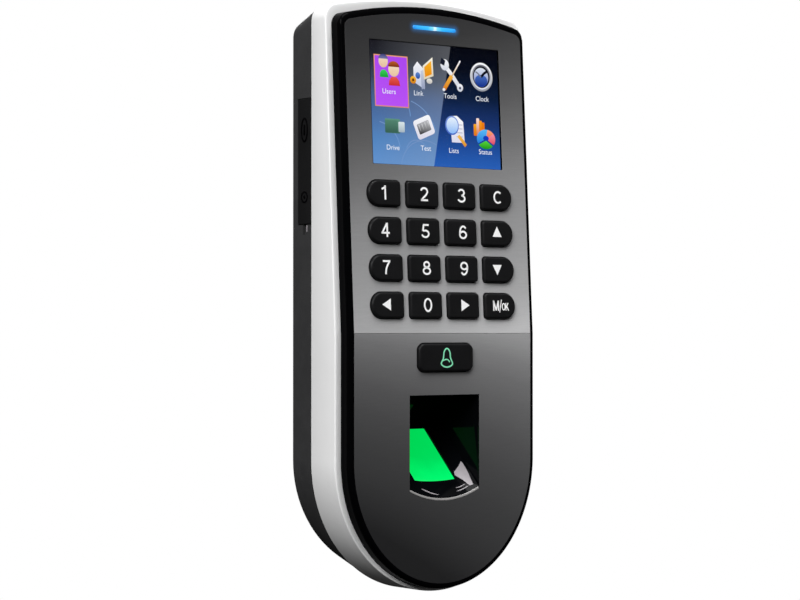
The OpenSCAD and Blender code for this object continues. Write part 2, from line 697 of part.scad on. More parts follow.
module clock_battery() color("silver")
  wall_pin(battery_at[0], battery_at[1], 6.25, board_d[1] + 1.05, board_d[1] + 3.05);

module tamper_switch() color([0.1, 0.1, 0.1]) difference() {
  wall_block(tamper[0], tamper[1], [6, 6], board_d[0] - 3.4, board_d[0]);
  wall_pin(tamper[0], tamper[1], 1.55, board_d[0] - 4, tamper_bore_d);
}

module tamper_plunger() color([0.9, 0.9, 0.9])
  wall_pin(tamper[0], tamper[1], 1.5, plate_t, tamper_bore_d - tamper_travel - 2 * gap);

// Ribbon and connectors between the keypad board and the main board
module board_link() color([0.85, 0.85, 0.82]) {
  section(ribbon([-17.6, fold_z + 8.2], [-board_d[1] - 2, fold_z + 1.2], 0.3), -7, 7);
  wall_block(0, fold_z + 1.4, [16, 4], board_d[1], board_d[1] + 2);
  upper() translate([-8, mat_n[1] + board_t, 6.2]) cube([16, 2, 4]);
}

// ---------- screws ----------

module casing_screws() color([0.3, 0.3, 0.32]) for (p = SCREWS) difference() {
  union() {
    wall_pin(p[0], p[1] + fold_z, screw_head[0], seat_d - screw_head[1], seat_d);
    wall_pin(p[0], p[1] + fold_z, screw_r, seat_d - slice, rear_d + 6.5);
  }
  for (a = [0, 90]) translate([p[0], -seat_d + screw_head[1], p[1] + fold_z]) rotate([0, a, 0])
    cube([2.4, 1.6, 0.6], center = true);
}

module board_screws() color([0.7, 0.7, 0.72]) for (x = [-post_x, post_x], z = post_z) difference() {
  union() {
    wall_pin(x, z, 1.9, board_d[1], board_d[1] + 1.3);
    wall_pin(x, z, 0.95, board_d[0] - 4, board_d[1] + slice);
  }
  for (a = [0, 90]) translate([x, -board_d[1] - 1.3, z]) rotate([0, a, 0])
    cube([2.2, 1.2, 0.5], center = true);
}

module security_screw() color([0.6, 0.6, 0.62]) translate([0, -security_d, fold_z - bottom_drop]) difference() {
  union() {
    translate([0, 0, 1.5]) cylinder(r = 2.6, h = 1.7);
    translate([0, 0, 3.2 - slice]) cylinder(r = 1.5, h = 8.6);
  }
  translate([0, 0, 0.5]) cylinder(r = 1.2, h = 2, $fn = 6);
}

// ---------- port plug ----------

module port_plug() color([0.07, 0.07, 0.07]) {
  side_x = 0.2 - body_w / 2;
  w = plug_d[1] - plug_d[0];
  h = plug_v[1] - plug_v[0];
  translate([side_x, -plug_d[1], fold_z + plug_v[0]]) {
    cube([plug_t, w, h]);
    translate([plug_t - slice, 1, 1.5]) cube([0.9, w - 2, h - 4]);
  }
}

wall_plate();
rear_cover();
mid_frame();
front_cover();
upper_panel();
lower_panel();
screen_window();
led_window();
port_plug();
casing_screws();
security_screw();
keypad_key(0, 0);  // key_1
keypad_key(1, 0);  // key_2
keypad_key(2, 0);  // key_3
keypad_key(3, 0);  // key_clear
keypad_key(0, 1);  // key_4
keypad_key(1, 1);  // key_5
keypad_key(2, 1);  // key_6
keypad_key(3, 1);  // key_up
keypad_key(0, 2);  // key_7
keypad_key(1, 2);  // key_8
keypad_key(2, 2);  // key_9
keypad_key(3, 2);  // key_down
keypad_key(0, 3);  // key_left
keypad_key(1, 3);  // key_0
keypad_key(2, 3);  // key_right
keypad_key(3, 3);  // key_ok
key_bell();
keypad_mat();
keypad_board();
key_contacts();
bell_mat();
bell_board();
lcd_panel();
lcd_frame();
lcd_flex();
led_board();
sensor_bezel();
sensor_prism();
sensor_housing();
sensor_board();
sensor_lens();
sensor_leds();
sensor_cable();
main_board();
main_chips();
capacitors();
relay();
terminal_headers();
usb_socket();
reset_switch();
reset_button();
speaker();
clock_battery();
battery_holder();
tamper_switch();
tamper_plunger();
board_link();
board_screws();
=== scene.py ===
import json
import math

import bmesh
import bpy
import numpy as np
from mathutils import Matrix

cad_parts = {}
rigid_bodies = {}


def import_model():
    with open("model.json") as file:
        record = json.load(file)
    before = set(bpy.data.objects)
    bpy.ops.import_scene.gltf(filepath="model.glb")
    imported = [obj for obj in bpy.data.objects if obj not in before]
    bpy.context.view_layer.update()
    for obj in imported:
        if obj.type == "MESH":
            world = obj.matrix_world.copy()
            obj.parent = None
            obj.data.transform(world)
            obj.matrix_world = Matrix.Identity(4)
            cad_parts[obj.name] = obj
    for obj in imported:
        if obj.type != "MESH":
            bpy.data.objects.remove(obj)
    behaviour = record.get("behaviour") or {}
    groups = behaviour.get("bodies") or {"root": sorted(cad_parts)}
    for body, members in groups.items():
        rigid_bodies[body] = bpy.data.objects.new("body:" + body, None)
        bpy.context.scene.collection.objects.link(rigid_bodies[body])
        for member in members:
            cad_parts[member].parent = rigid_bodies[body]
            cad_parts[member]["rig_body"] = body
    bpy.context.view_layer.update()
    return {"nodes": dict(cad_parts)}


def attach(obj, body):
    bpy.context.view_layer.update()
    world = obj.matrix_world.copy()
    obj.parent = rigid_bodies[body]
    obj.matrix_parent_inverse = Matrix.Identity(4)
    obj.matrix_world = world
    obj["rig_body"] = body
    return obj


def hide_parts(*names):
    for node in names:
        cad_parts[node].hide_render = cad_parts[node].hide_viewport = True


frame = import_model()

# ---------- sizes, in millimetres ----------

MM = 0.001
BODY_D = 26.0
REAR_D = 9.7
SHOULDER = 4.26
FOLD_Z = -11.5
TILT = math.radians(3.1)
COS, SIN, TAN = math.cos(TILT), math.sin(TILT), math.tan(TILT)
SIDE_DROP = 37.5
KEY_W, KEY_H = 11.7, 7.6
PITCH_X, PITCH_V = 14.1, 10.96
KEY_TOP_V = 41.1
KEY_PROUD = 1.0
SCREEN_W, SCREEN_H = 48.96, 36.78
SCREEN_V = 68.15
LIGHT_V = 91.3
BELL_V = -7.15
RECESS_HALF, RECESS_TOP, RECESS_LOW, RECESS_BOW = 13.03, -18.3, -46.5, 3.05
RAMP = math.radians(45.9)
GROOVE_R, GROOVE_Z = 40.7, -48.9
PLATEN_W, PLATEN_L = 15.56, 21.3
PLATEN_N = 5.0

# ---------- places ----------


def lower(p):
    """Upright lower face: points of (across, depth behind the face, height above the fold)."""
    x, n, v = np.moveaxis(np.asarray(p, float), -1, 0)
    return np.stack([x, n - BODY_D, v + FOLD_Z], -1)


def upper(p):
    """Sloping upper face: the same three numbers, turned back about the fold line by the tilt."""
    x, n, v = np.moveaxis(np.asarray(p, float), -1, 0)
    return np.stack([x, n * COS + v * SIN - BODY_D, v * COS - n * SIN + FOLD_Z], -1)


def left_side(p):
    """Left side of the body: (distance from the wall, depth behind the side face, height above the fold)."""
    d, n, v = np.moveaxis(np.asarray(p, float), -1, 0)
    return np.stack([n - 36.8, -d, v + FOLD_Z], -1)


def face_y(z, n):
    """Depth of a point n behind the folded front: the larger of the upright and the sloping plane."""
    return np.maximum(n, n / COS + z * TAN) - BODY_D


# ---------- outlines: closed loops of (across, height), anticlockwise seen from the front ----------


def arc(cx, cz, rx, rz, start, end, count):
    """Points cx + rx cos a, cz + rz sin a, for a from start to end degrees."""
    a = np.radians(np.linspace(start, end, count))
    return np.c_[cx + rx * np.cos(a), cz + rz * np.sin(a)]


def outline(half, rise, drop, top_r, r):
    """Half ellipse at the bottom, straight sides, corner arcs of radius r and an arched top of radius top_r."""
    a = math.degrees(math.atan2(math.sqrt((top_r - r) ** 2 - (half - r) ** 2), half - r))
    cz = rise - top_r + (top_r - r) * math.sin(math.radians(a))
    low = arc(0, -SIDE_DROP, half, drop - SIDE_DROP, 180, 360, 193)
    side = np.r_[np.linspace(-SIDE_DROP, -1, 12)[1:-1], np.linspace(-1, 1, 9), np.linspace(1, cz, 24)[1:-1]]
    right = np.r_[np.c_[np.full(len(side), half), side], arc(half - r, cz, r, r, 0, a, 15)]
    top = arc(0, rise - top_r, top_r, top_r, a, 180 - a, 75)[1:-1]
    return np.r_[low, right, top, (right * [-1, 1])[::-1]]


def rounded(w, h, left, right, steps=11):
    """Rectangle whose corners are quarter circles, of one radius at each side."""
    return np.r_[
        arc(w / 2 - right, h / 2 - right, right, right, 0, 90, steps),
        arc(left - w / 2, h / 2 - left, left, left, 90, 180, steps),
        arc(left - w / 2, left - h / 2, left, left, 180, 270, steps),
        arc(w / 2 - right, right - h / 2, right, right, 270, 360, steps)]


def bowed(loop, w, h, bow):
    """The loop with its sides drawn in by the square of the height, so that they bow outwards."""
    return loop * np.c_[1 - 2 * bow / w * (2 * loop[:, 1] / h) ** 2, np.ones(len(loop))]


def inset(loop, by):
    """The loop moved inwards along its normal, which is its tangent turned a quarter."""
    run = np.roll(loop, -1, 0) - np.roll(loop, 1, 0)
    run /= np.linalg.norm(run, axis=1, keepdims=True)
    return loop + by * np.c_[-run[:, 1], run[:, 0]]


def band(path, width, closed=False):
    """Loops of a line of one width: both sides of the path, moved by half the width along its normal."""
    run = np.gradient(path, axis=0)
    if closed:
        run = np.roll(path, -1, 0) - np.roll(path, 1, 0)
    run /= np.linalg.norm(run, axis=1, keepdims=True)
    off = 0.5 * width * np.c_[-run[:, 1], run[:, 0]]
    if closed:
        return [path - off, (path + off)[::-1]]
    return [np.r_[path - off, (path + off)[::-1]]]


def smooth(path, closed, times=2):
    """Corner cutting: each edge gives points at its first and last quarters."""
    for _ in range(times):
        near = np.roll(path, -1, 0) if closed else path[1:]
        far = path if closed else path[:-1]
        mid = np.stack([0.75 * far + 0.25 * near, 0.25 * far + 0.75 * near], 1).reshape(-1, 2)
        path = mid if closed else np.r_[path[:1], mid, path[-1:]]
    return path


FRAME = outline(37, 99.7, 76.7, 180, 5)
COVER = outline(34.62, 97.4, 75.66, 142, 3.8)
SEAM = outline(34.7, 97.48, 75.74, 142, 3.83)
PANEL = outline(33.2, 95.26, 74.16, 142, 2.7)
BOW_R = (RECESS_HALF ** 2 + RECESS_BOW ** 2) / (2 * RECESS_BOW)
BOW_A = math.degrees(math.asin(RECESS_HALF / BOW_R))


def recess_edge(by=0.0):
    """Lower edge of the recess, an arc that bows down by its middle, moved up by a distance."""
    middle = -RECESS_LOW + RECESS_BOW
    return arc(0, BOW_R - middle, BOW_R - by, BOW_R - by, 270 - BOW_A, 270 + BOW_A, 41)


def recess_loop():
    """Opening of the recess: the bowed lower edge and a straight top."""
    return np.r_[recess_edge(), [[RECESS_HALF, RECESS_TOP], [-RECESS_HALF, RECESS_TOP]]]


# ---------- meshes ----------


def coords(mesh):
    """Points of a mesh, as rows of three numbers."""
    co = np.empty(len(mesh.vertices) * 3, np.float32)
    mesh.vertices.foreach_get("co", co)
    return co.reshape(-1, 3)


def shown(name, data):
    """New object in the scene."""
    obj = bpy.data.objects.new(name, data)
    bpy.context.scene.collection.objects.link(obj)
    return obj


def rework(mesh, *steps):
    """Edits a mesh by a list of steps, each of them a function of its editable form."""
    bm = bmesh.new()
    bm.from_mesh(mesh)
    for step in steps:
        step(bm)
    bm.to_mesh(mesh)
    bm.free()


def join_points(apart):
    """Step that merges points less than a distance apart, in metres."""
    return lambda bm: bmesh.ops.remove_doubles(bm, verts=bm.verts, dist=apart)


# ---------- surfaces ----------


def weave(rows, cols, wrap_rows=True, wrap_cols=True):
    """Quads of a grid of points, joined round at its ends where it wraps."""
    i = np.arange(rows if wrap_rows else rows - 1)[:, None]
    j = np.arange(cols if wrap_cols else cols - 1)[None]
    up, on = (i + 1) % rows, (j + 1) % cols
    return np.stack([i * cols + j, i * cols + on, up * cols + on, up * cols + j], -1).reshape(-1, 4)


def strip(rows):
    """Closed strip from rows of points, one row for each corner of its cross section, with its two ends shut."""
    count = rows.shape[1]
    corners = np.arange(len(rows)) * count
    ends = [tuple(corners), tuple((corners + count - 1)[::-1])]
    return lower(rows.reshape(-1, 3)), [tuple(f) for f in weave(len(rows), count, True, False)] + ends


def ring(outer, inner, rows):
    """Profile of (share of the way from outer to inner, depth, distance from the wall or 0) carried round the body."""
    share, n, wall = np.array(rows, float).T[:, :, None]
    p = outer + share[..., None] * (inner - outer)
    y = np.where(wall > 0, -wall, face_y(p[..., 1], n))
    points = np.stack([p[..., 0], y, p[..., 1] + FOLD_Z], -1)
    return points.reshape(-1, 3), weave(*points.shape[:2])


def cap(loop, rows, crown, place):
    """Solid key cap: the loop carried along rows of (inset, depth), closed by rings that shrink to the middle.

    The front rises towards its middle by crown times one minus the square of the ring's size.
    """
    levels = [np.c_[inset(loop, by), np.full(len(loop), n)] for by, n in rows]
    back, front = levels[0], levels[-1]
    close = [np.c_[front[:, :2] * s, front[:, 2] - crown * (1 - s * s)] for s in (0.9, 0.75, 0.5, 0.25, 0)]
    start = [back * [s, s, 1] for s in (0, 0.5)]
    levels = np.array(start + levels + close)[..., [0, 2, 1]]
    return place(levels.reshape(-1, 3)), weave(*levels.shape[:2], wrap_rows=False)


def flat_plate(loops, n0, n1, edge=0.0, place=lower):
    """Plate between two depths, cut to its outside loop and its holes, with its edges rounded."""
    curve = bpy.data.curves.new("plate", "CURVE")
    curve.dimensions = "2D"
    curve.fill_mode = "BOTH"
    curve.extrude = (n1 - n0) / 2 - edge
    curve.bevel_depth = edge
    curve.bevel_resolution = 2
    curve.offset = -edge
    for loop in loops:
        spline = curve.splines.new("POLY")
        spline.points.add(len(loop) - 1)
        spline.points.foreach_set("co", np.c_[loop, np.zeros(len(loop)), np.ones(len(loop))].ravel())
        spline.use_cyclic_u = True
    return from_curve(curve, (n0 + n1) / 2, place)


def from_curve(curve, middle, place):
    """Mesh of a flat curve or of lettering, with its own height turned into depth, and then placed."""
    holder = shown("flat", curve)
    bpy.context.view_layer.update()
    mesh = bpy.data.meshes.new_from_object(holder.evaluated_get(bpy.context.evaluated_depsgraph_get()))
    bpy.data.objects.remove(holder)
    x, v, up = coords(mesh).astype(float).T
    faces = [tuple(f.vertices) for f in mesh.polygons]
    bpy.data.meshes.remove(mesh)
    return place(np.stack([x, middle - up, v], -1)), faces


def lettering(text, size, at, n0, n1, place):
    """Generic numbers and words, as raised print."""
    curve = bpy.data.curves.new("print", "FONT")
    curve.body = text
    curve.size = size
    curve.align_x = "CENTER"
    curve.extrude = (n1 - n0) / 2
    return from_curve(curve, (n0 + n1) / 2, lambda p: place(p + [at[0], 0, at[1]]))


# ---------- finishes ----------


def lin(*rgb):
    """Colour given as 0 to 255 on a display, as linear light."""
    c = np.array(rgb, float) / 255
    return tuple(np.where(c <= 0.04045, c / 12.92, ((c + 0.055) / 1.055) ** 2.4)) + (1.0,)


def set_stops(elements, stops):
    """Fills a colour ramp with stops of (position, colour)."""
    while len(elements) < len(stops):
        elements.new(0.5)
    for element, (at, colour) in zip(elements, stops):
        element.position = at
        element.color = colour


BLACK = (0.0, 0.0, 0.0, 1.0)
UNLIT = (0.001, 0.001, 0.001, 1.0)  # own colour of a display, which shows only its light


class Nodes:
    """Node tree of one finish, with its shader and the object's own coordinates."""

    def __init__(self, name, rough, metal=0.0, ior=1.5, level=0.5, coat=0.0):
        self.material = bpy.data.materials.new(name)
        self.material.use_nodes = True
        self.tree = self.material.node_tree
        self.shader = self.tree.nodes["Principled BSDF"]
        for key, value in {"Roughness": rough, "Metallic": metal, "IOR": ior, "Specular IOR Level": level,
                           "Coat Weight": coat, "Coat Roughness": 0.08}.items():
            self.shader.inputs[key].default_value = value
        self.place = self.add("ShaderNodeTexCoord").outputs["Object"]

    def feed(self, key, value):
        """Sets an input of the shader to a number or a colour, or links it to another node's output."""
        if isinstance(value, (int, float, tuple)):
            self.shader.inputs[key].default_value = value
        else:
            self.link(value, self.shader.inputs[key])

    def add(self, kind, **values):
        node = self.tree.nodes.new(kind)
        for key, value in values.items():
            setattr(node, key, value)
        return node

    def link(self, a, b):
        self.tree.links.new(a, b)

    def noise(self, scale, detail=3.0, stretch=(1, 1, 1)):
        """Noise of a scale in features per metre, stretched along an axis."""
        turn = self.add("ShaderNodeMapping")
        turn.inputs["Scale"].default_value = stretch
        self.link(self.place, turn.inputs["Vector"])
        node = self.add("ShaderNodeTexNoise")
        node.inputs["Scale"].default_value = scale
        node.inputs["Detail"].default_value = detail
        self.link(turn.outputs["Vector"], node.inputs["Vector"])
        return node.outputs["Fac"]

    def axis(self, name):
        split = self.add("ShaderNodeSeparateXYZ")
        self.link(self.place, split.inputs["Vector"])
        return split.outputs[name]

    def spread(self, value, low, high, to_low=0.0, to_high=1.0, smooth=False):
        node = self.add("ShaderNodeMapRange")
        node.interpolation_type = "SMOOTHSTEP" if smooth else "LINEAR"
        self.link(value, node.inputs["Value"])
        for key, number in zip(("From Min", "From Max", "To Min", "To Max"), (low, high, to_low, to_high)):
            node.inputs[key].default_value = number
        return node.outputs["Result"]

    def calc(self, kind, a, b=0.0):
        """Result of a sum, a product or another operation on two values."""
        node = self.add("ShaderNodeMath", operation=kind)
        for socket, value in zip(node.inputs, (a, b)):
            if isinstance(value, (int, float)):
                socket.default_value = value
            else:
                self.link(value, socket)
        return node.outputs[0]

    def ramp(self, value, stops):
        node = self.add("ShaderNodeValToRGB")
        set_stops(node.color_ramp.elements, stops)
        self.link(value, node.inputs["Fac"])
        return node.outputs["Color"]

    def blend(self, share, a, b, kind="MIX"):
        node = self.add("ShaderNodeMix", data_type="RGBA", blend_type=kind)
        for socket, value in ((node.inputs["Factor"], share), (node.inputs["A"], a), (node.inputs["B"], b)):
            if isinstance(value, (int, float, tuple)):
                socket.default_value = value
            else:
                self.link(value, socket)
        return node.outputs["Result"]

    def bump(self, height, depth, strength=1.0):
        node = self.add("ShaderNodeBump")
        node.inputs["Strength"].default_value = strength
        node.inputs["Distance"].default_value = depth
        self.link(height, node.inputs["Height"])
        self.link(node.outputs["Normal"], self.shader.inputs["Normal"])


def shade(colour, by):
    """The colour, darker or lighter by a factor."""
    return tuple(min(1.0, c * by) for c in colour[:3]) + (1.0,)


def moulded(name, colour, rough, grain=3500.0, depth=2e-6, mottle=0.12, stretch=(1, 1, 1), **more):
    """Finish of one colour: slight mottling, a varying roughness and a fine surface grain."""
    m = Nodes(name, rough, **more)
    cloud = m.noise(120.0, 4.0)
    m.feed("Base Color", m.ramp(cloud, [(0.3, shade(colour, 1 - mottle)), (0.7, shade(colour, 1 + mottle))]))
    fine = m.noise(grain, 3.0, stretch)
    coarse = m.noise(grain / 7, 3.0, stretch)
    m.feed("Roughness", m.spread(coarse, 0.3, 0.7, rough * 0.85, min(1.0, rough * 1.15)))
    m.bump(fine, depth)
    return m.material


def pearl_paint_and_painted_shading(name, tones, lean, lit=False):
    """Pearl gray paint, finely brushed across, with painted shading: gray tones by height in mm that stand in for the
    light on the face, lightest at the fold and darkest at the top and the foot, which lean as they go to the right,
    where the painted light is brighter.

    The height that picks the tone is z + k x, with k running from the first to the second lean going down.
    """
    m = Nodes(name, 0.42, metal=0.25, level=0.35)
    z = m.axis("Z")
    slope = m.spread(z, FOLD_Z * MM, -0.08, *lean)
    first, last = tones[0][0], tones[-1][0]
    share = m.spread(m.calc("ADD", z, m.calc("MULTIPLY", m.axis("X"), slope)), first * MM, last * MM)
    body = m.ramp(share, [((at - first) / (last - first), lin(g, g, g + 1)) for at, g in tones])
    streak = m.noise(1500.0, 4.0, (0.10, 1, 3.2))
    fleck = m.noise(5200.0, 2.0)
    body = m.blend(m.spread(streak, 0.3, 0.7, 0.0, 0.07), body, BLACK)
    body = m.blend(m.spread(fleck, 0.35, 0.75, 0.0, 0.10), body, (1, 1, 1, 1), "OVERLAY")
    m.feed("Base Color", body)
    m.feed("Roughness", m.spread(fleck, 0.3, 0.7, 0.36, 0.5))
    m.bump(streak, 1.5e-6)
    if lit:
        light_spill(m, z)
    return m.material


def light_spill(m, z):
    """Blue spill of the light bar on the paint: a power of the distance from the bar's centre line."""
    across = m.calc("MAXIMUM", m.calc("SUBTRACT", m.calc("ABSOLUTE", m.axis("X")), 0.0076))
    off = m.calc("SUBTRACT", z, (FOLD_Z + LIGHT_V * COS) * MM)
    far = m.calc("SQRT", m.calc("ADD", m.calc("MULTIPLY", across, across), m.calc("MULTIPLY", off, off)))
    glow = m.calc("POWER", m.spread(far, 0.0004, 0.0026, 1.0, 0.0), 2.4)
    m.feed("Emission Color", m.blend(glow, BLACK, lin(30, 120, 190)))
    m.feed("Emission Strength", 0.55)


def glass(name, colour, rough=0.02):
    """Clear glass with faint smears in its polish."""
    m = Nodes(name, rough, ior=1.08)
    m.feed("Transmission Weight", 1.0)
    smear = m.noise(60.0, 4.0)
    m.feed("Base Color", m.ramp(smear, [(0.35, shade(colour, 0.97)), (0.65, colour)]))
    m.feed("Roughness", m.spread(smear, 0.3, 0.8, rough, rough * 2))
    return m.material


def picture():
    """Lit display: night blue to bright blue down the picture, with a painted reflection at its left: a paler field up
    to a slanting edge.
    """
    m = Nodes("lcd_glass", 0.5, level=0.0)
    z, x = m.axis("Z"), m.axis("X")
    middle = (FOLD_Z + SCREEN_V * COS) * MM
    down = m.spread(z, middle + SCREEN_H / 2 * MM, middle - SCREEN_H / 2 * MM)
    right = m.ramp(down, [(0.0, lin(3, 4, 12)), (0.2, lin(6, 12, 28)), (0.42, lin(11, 29, 60)),
                          (0.65, lin(26, 54, 114)), (0.85, lin(33, 80, 160)), (1.0, lin(42, 98, 186))])
    # Painted reflection of a light on the glass: the paler field left of the slanting edge, which pales more towards
    # its right
    left = m.ramp(down, [(0.0, lin(26, 25, 32)), (0.12, lin(36, 38, 46)), (0.3, lin(56, 70, 92)),
                         (0.45, lin(70, 98, 142)), (0.6, lin(78, 114, 166)), (0.8, lin(86, 136, 194)),
                         (1.0, lin(102, 150, 208))])
    left = m.blend(m.spread(x, -0.022, 0.005, 0.0, 0.2), left, lin(170, 174, 180))
    reflection_edge = m.calc("SUBTRACT", x, m.spread(down, 0.0, 1.0, 0.0066, -0.0012))
    share = m.spread(reflection_edge, -0.00012, 0.00012, 1.0, 0.0)
    # The thin strip at the picture's left edge keeps a darker blue, outside the painted reflection
    rim = m.spread(x, -0.0243, -0.0235, 1.0, 0.0)
    colour = m.blend(share, right, left)
    colour = m.blend(rim, colour, m.ramp(down, [(0.2, lin(20, 22, 36)), (0.5, lin(44, 70, 150))]))
    scan = m.noise(9000.0, 1.0)
    colour = m.blend(m.spread(scan, 0.4, 0.7, 0.0, 0.08), colour, BLACK)
    m.feed("Emission Color", colour)
    m.feed("Emission Strength", 1.0)
    m.feed("Base Color", UNLIT)
    return m.material


def painted():
    """Lit picture parts, each in the colour that its points hold."""
    m = Nodes("screen_paint", 0.5, level=0.0)
    ink = m.add("ShaderNodeAttribute", attribute_name="ink").outputs["Color"]
    dots = m.noise(9000.0, 1.0)
    m.feed("Emission Color", m.blend(m.spread(dots, 0.4, 0.7, 0.0, 0.06), ink, BLACK))
    m.feed("Emission Strength", 1.0)
    m.feed("Base Color", UNLIT)
    return m.material


def light_bar():
    """Lit blue bar, nearly white at its middle."""
    m = Nodes("blue_light", 0.3)
    share = m.spread(m.calc("ABSOLUTE", m.axis("X")), 0.0, 0.0081)
    streak = m.noise(500.0, 2.0)
    share = m.calc("ADD", share, m.spread(streak, 0.3, 0.7, -0.05, 0.05))
    m.feed("Emission Color", m.ramp(share, [
        (0.0, lin(225, 246, 255)), (0.10, lin(120, 214, 255)), (0.3, lin(44, 178, 255)), (0.8, lin(36, 160, 246)),
        (1.0, lin(24, 130, 220))]))
    m.feed("Emission Strength", 1.0)
    m.feed("Base Color", (0.02, 0.1, 0.2, 1))
    return m.material


def green_glow():
    """Finger window lit green from inside, a little brighter towards its lower end."""
    m = Nodes("green_platen", 0.12, level=0.6)
    z = m.axis("Z")
    low = (GROOVE_Z + FOLD_Z) * MM
    share = m.calc("ADD", m.spread(z, low + 0.004, low + 0.022), m.spread(m.noise(90.0), 0.3, 0.7, -0.2, 0.2))
    m.feed("Emission Color", m.ramp(share, [(0.0, lin(0, 240, 100)), (0.5, lin(0, 218, 86)), (1.0, lin(0, 224, 92))]))
    m.feed("Emission Strength", 0.95)
    m.feed("Base Color", (0.0, 0.12, 0.04, 1))
    return m.material


def circuit(name, colour):
    """Green solder mask over tracks, which run up in some square fields and across in the others."""
    m = Nodes(name, 0.35, level=0.5, coat=0.2)
    field = m.add("ShaderNodeTexVoronoi", distance="CHEBYCHEV")
    field.inputs["Scale"].default_value = 90.0
    m.link(m.place, field.inputs["Vector"])
    pick = m.add("ShaderNodeSeparateColor")
    m.link(field.outputs["Color"], pick.inputs[0])
    repeats = [m.calc("FRACT", m.calc("MULTIPLY", m.axis(way), 900.0)) for way in ("X", "Z")]
    runs = [m.calc("ABSOLUTE", m.calc("SUBTRACT", repeat, 0.5)) for repeat in repeats]
    across, up = [m.spread(run, 0.10, 0.16, 1.0, 0.0) for run in runs]
    upright = m.calc("GREATER_THAN", pick.outputs[0], 0.5)
    plain = m.calc("GREATER_THAN", pick.outputs[1], 0.45)
    track = m.calc("MULTIPLY", plain, m.calc("ADD", m.calc("MULTIPLY", upright, across),
                                           m.calc("MULTIPLY", m.calc("SUBTRACT", 1.0, upright), up)))
    m.feed("Base Color", m.blend(track, colour, shade(colour, 1.9)))
    m.bump(track, 1.5e-5)
    return m.material


# Painted shading of the pearl paint: gray tones by height in mm, which stand in for light and shade on the two faces
UPPER_PAINTED_SHADING = [(-18, 216), (-8, 192), (4, 177), (16, 164), (28, 150), (40, 125), (52, 101), (64, 79), (76, 58),
               (88, 46)]
LOWER_PAINTED_SHADING = [(-84, 38), (-74, 54), (-64, 66), (-54, 74), (-44, 84), (-34, 98), (-26, 114), (-19, 130), (-14, 147),
               (-8, 176)]

# Plain finishes: colour, roughness, grain in features per metre, depth of the grain, mottling, and what else differs
MOULDED = {
    "dark_cover": (lin(44, 44, 45), 0.62, 3000.0, 1.6e-5, 0.10, dict(level=0.4)),
    "white_frame": (lin(236, 236, 236), 0.34, 2500.0, 1.5e-6, 0.012, dict(level=0.4)),
    "black_gloss": (lin(3, 3, 4), 0.12, 1200.0, 3e-7, 0.2, dict(ior=1.1)),
    "black_rubber": (lin(17, 17, 18), 0.7, 2600.0, 8e-6, 0.15, dict(level=0.12)),
    "key_black": (lin(22, 22, 23), 0.34, 4200.0, 1.6e-6, 0.12, dict(ior=1.2)),
    "key_print": (lin(250, 250, 250), 0.45, 5000.0, 1e-6, 0.02, {}),
    "bell_print": (lin(140, 236, 190), 0.45, 5000.0, 1e-6, 0.08, {}),
    "recess_black": (lin(5, 6, 8), 0.08, 1500.0, 4e-7, 0.2, dict(ior=1.13)),
    # Partly painted highlight: light gray on the recess's cut edge, standing in for the light that the chamfer catches
    "edge_bright": (lin(176, 174, 173), 0.28, 2500.0, 2e-6, 0.08, dict(metal=0.5)),
    # Painted highlight: pale gray for the reflection patch and glints on the recess ramp and the lit edge of the plug's
    # nick
    "facet_gray": (lin(146, 141, 145), 0.3, 2500.0, 2e-6, 0.10, dict(level=0.3)),
    "plated_steel": ((0.58, 0.59, 0.6, 1), 0.34, 700.0, 6e-6, 0.10, dict(stretch=(0.2, 1, 2.5), metal=1.0)),
    "socket_steel": ((0.66, 0.66, 0.66, 1), 0.25, 1500.0, 2e-6, 0.06, dict(metal=1.0)),
    "bright_screws": ((0.6, 0.6, 0.62, 1), 0.28, 2500.0, 3e-6, 0.08, dict(metal=1.0)),
    "black_screws": ((0.04, 0.04, 0.042, 1), 0.4, 2500.0, 3e-6, 0.1, dict(metal=0.6)),
    "gold_pads": ((0.85, 0.62, 0.22, 1), 0.25, 2500.0, 2e-6, 0.06, dict(metal=1.0)),
    "pad_rubber": ((0.5, 0.51, 0.53, 1), 0.6, 2500.0, 4e-6, 0.05, {}),
    "lcd_case": ((0.78, 0.78, 0.78, 1), 0.5, 2500.0, 3e-6, 0.04, {}),
    "flex_amber": ((0.55, 0.26, 0.04, 1), 0.3, 900.0, 3e-6, 0.15, dict(stretch=(6, 1, 0.2))),
    "sensor_black": ((0.015, 0.015, 0.016, 1), 0.5, 2500.0, 5e-6, 0.15, {}),
    "sensor_light": ((0.55, 0.9, 0.55, 1), 0.3, 2500.0, 2e-6, 0.06, {}),
    "ribbon_white": ((0.7, 0.7, 0.66, 1), 0.45, 900.0, 1e-5, 0.06, dict(stretch=(6, 1, 0.1))),
    "chip_black": ((0.02, 0.02, 0.022, 1), 0.55, 4000.0, 6e-6, 0.15, {}),
    "capacitor_blue": ((0.03, 0.06, 0.25, 1), 0.3, 2500.0, 2e-6, 0.1, {}),
    "relay_blue": ((0.02, 0.08, 0.35, 1), 0.35, 2500.0, 2e-6, 0.1, {}),
    "header_ivory": ((0.78, 0.76, 0.66, 1), 0.5, 2500.0, 4e-6, 0.05, {}),
    "button_white": ((0.78, 0.78, 0.78, 1), 0.45, 2500.0, 3e-6, 0.04, {}),
    "speaker_black": ((0.02, 0.02, 0.02, 1), 0.55, 3500.0, 6e-6, 0.15, {}),
}
FINISH = {name: moulded(name, *row[:-1], **row[-1]) for name, row in MOULDED.items()}
FINISH.update({
    # Pearl paint of the two panels, with painted shading from the tone tables above
    "pearl_upper": pearl_paint_and_painted_shading("pearl_upper", UPPER_PAINTED_SHADING, (-0.28, -0.28), True),
    "pearl_lower": pearl_paint_and_painted_shading("pearl_lower", LOWER_PAINTED_SHADING, (0.16, 0.64)),
    "screen_glass": glass("screen_glass", (0.97, 0.98, 1.0, 1.0)),
    "lcd_glass": picture(),
    "screen_paint": painted(),
    "blue_light": light_bar(),
    "green_platen": green_glow(),
    "circuit_green": circuit("circuit_green", (0.012, 0.12, 0.045, 1)),
})

# ---------- pieces ----------


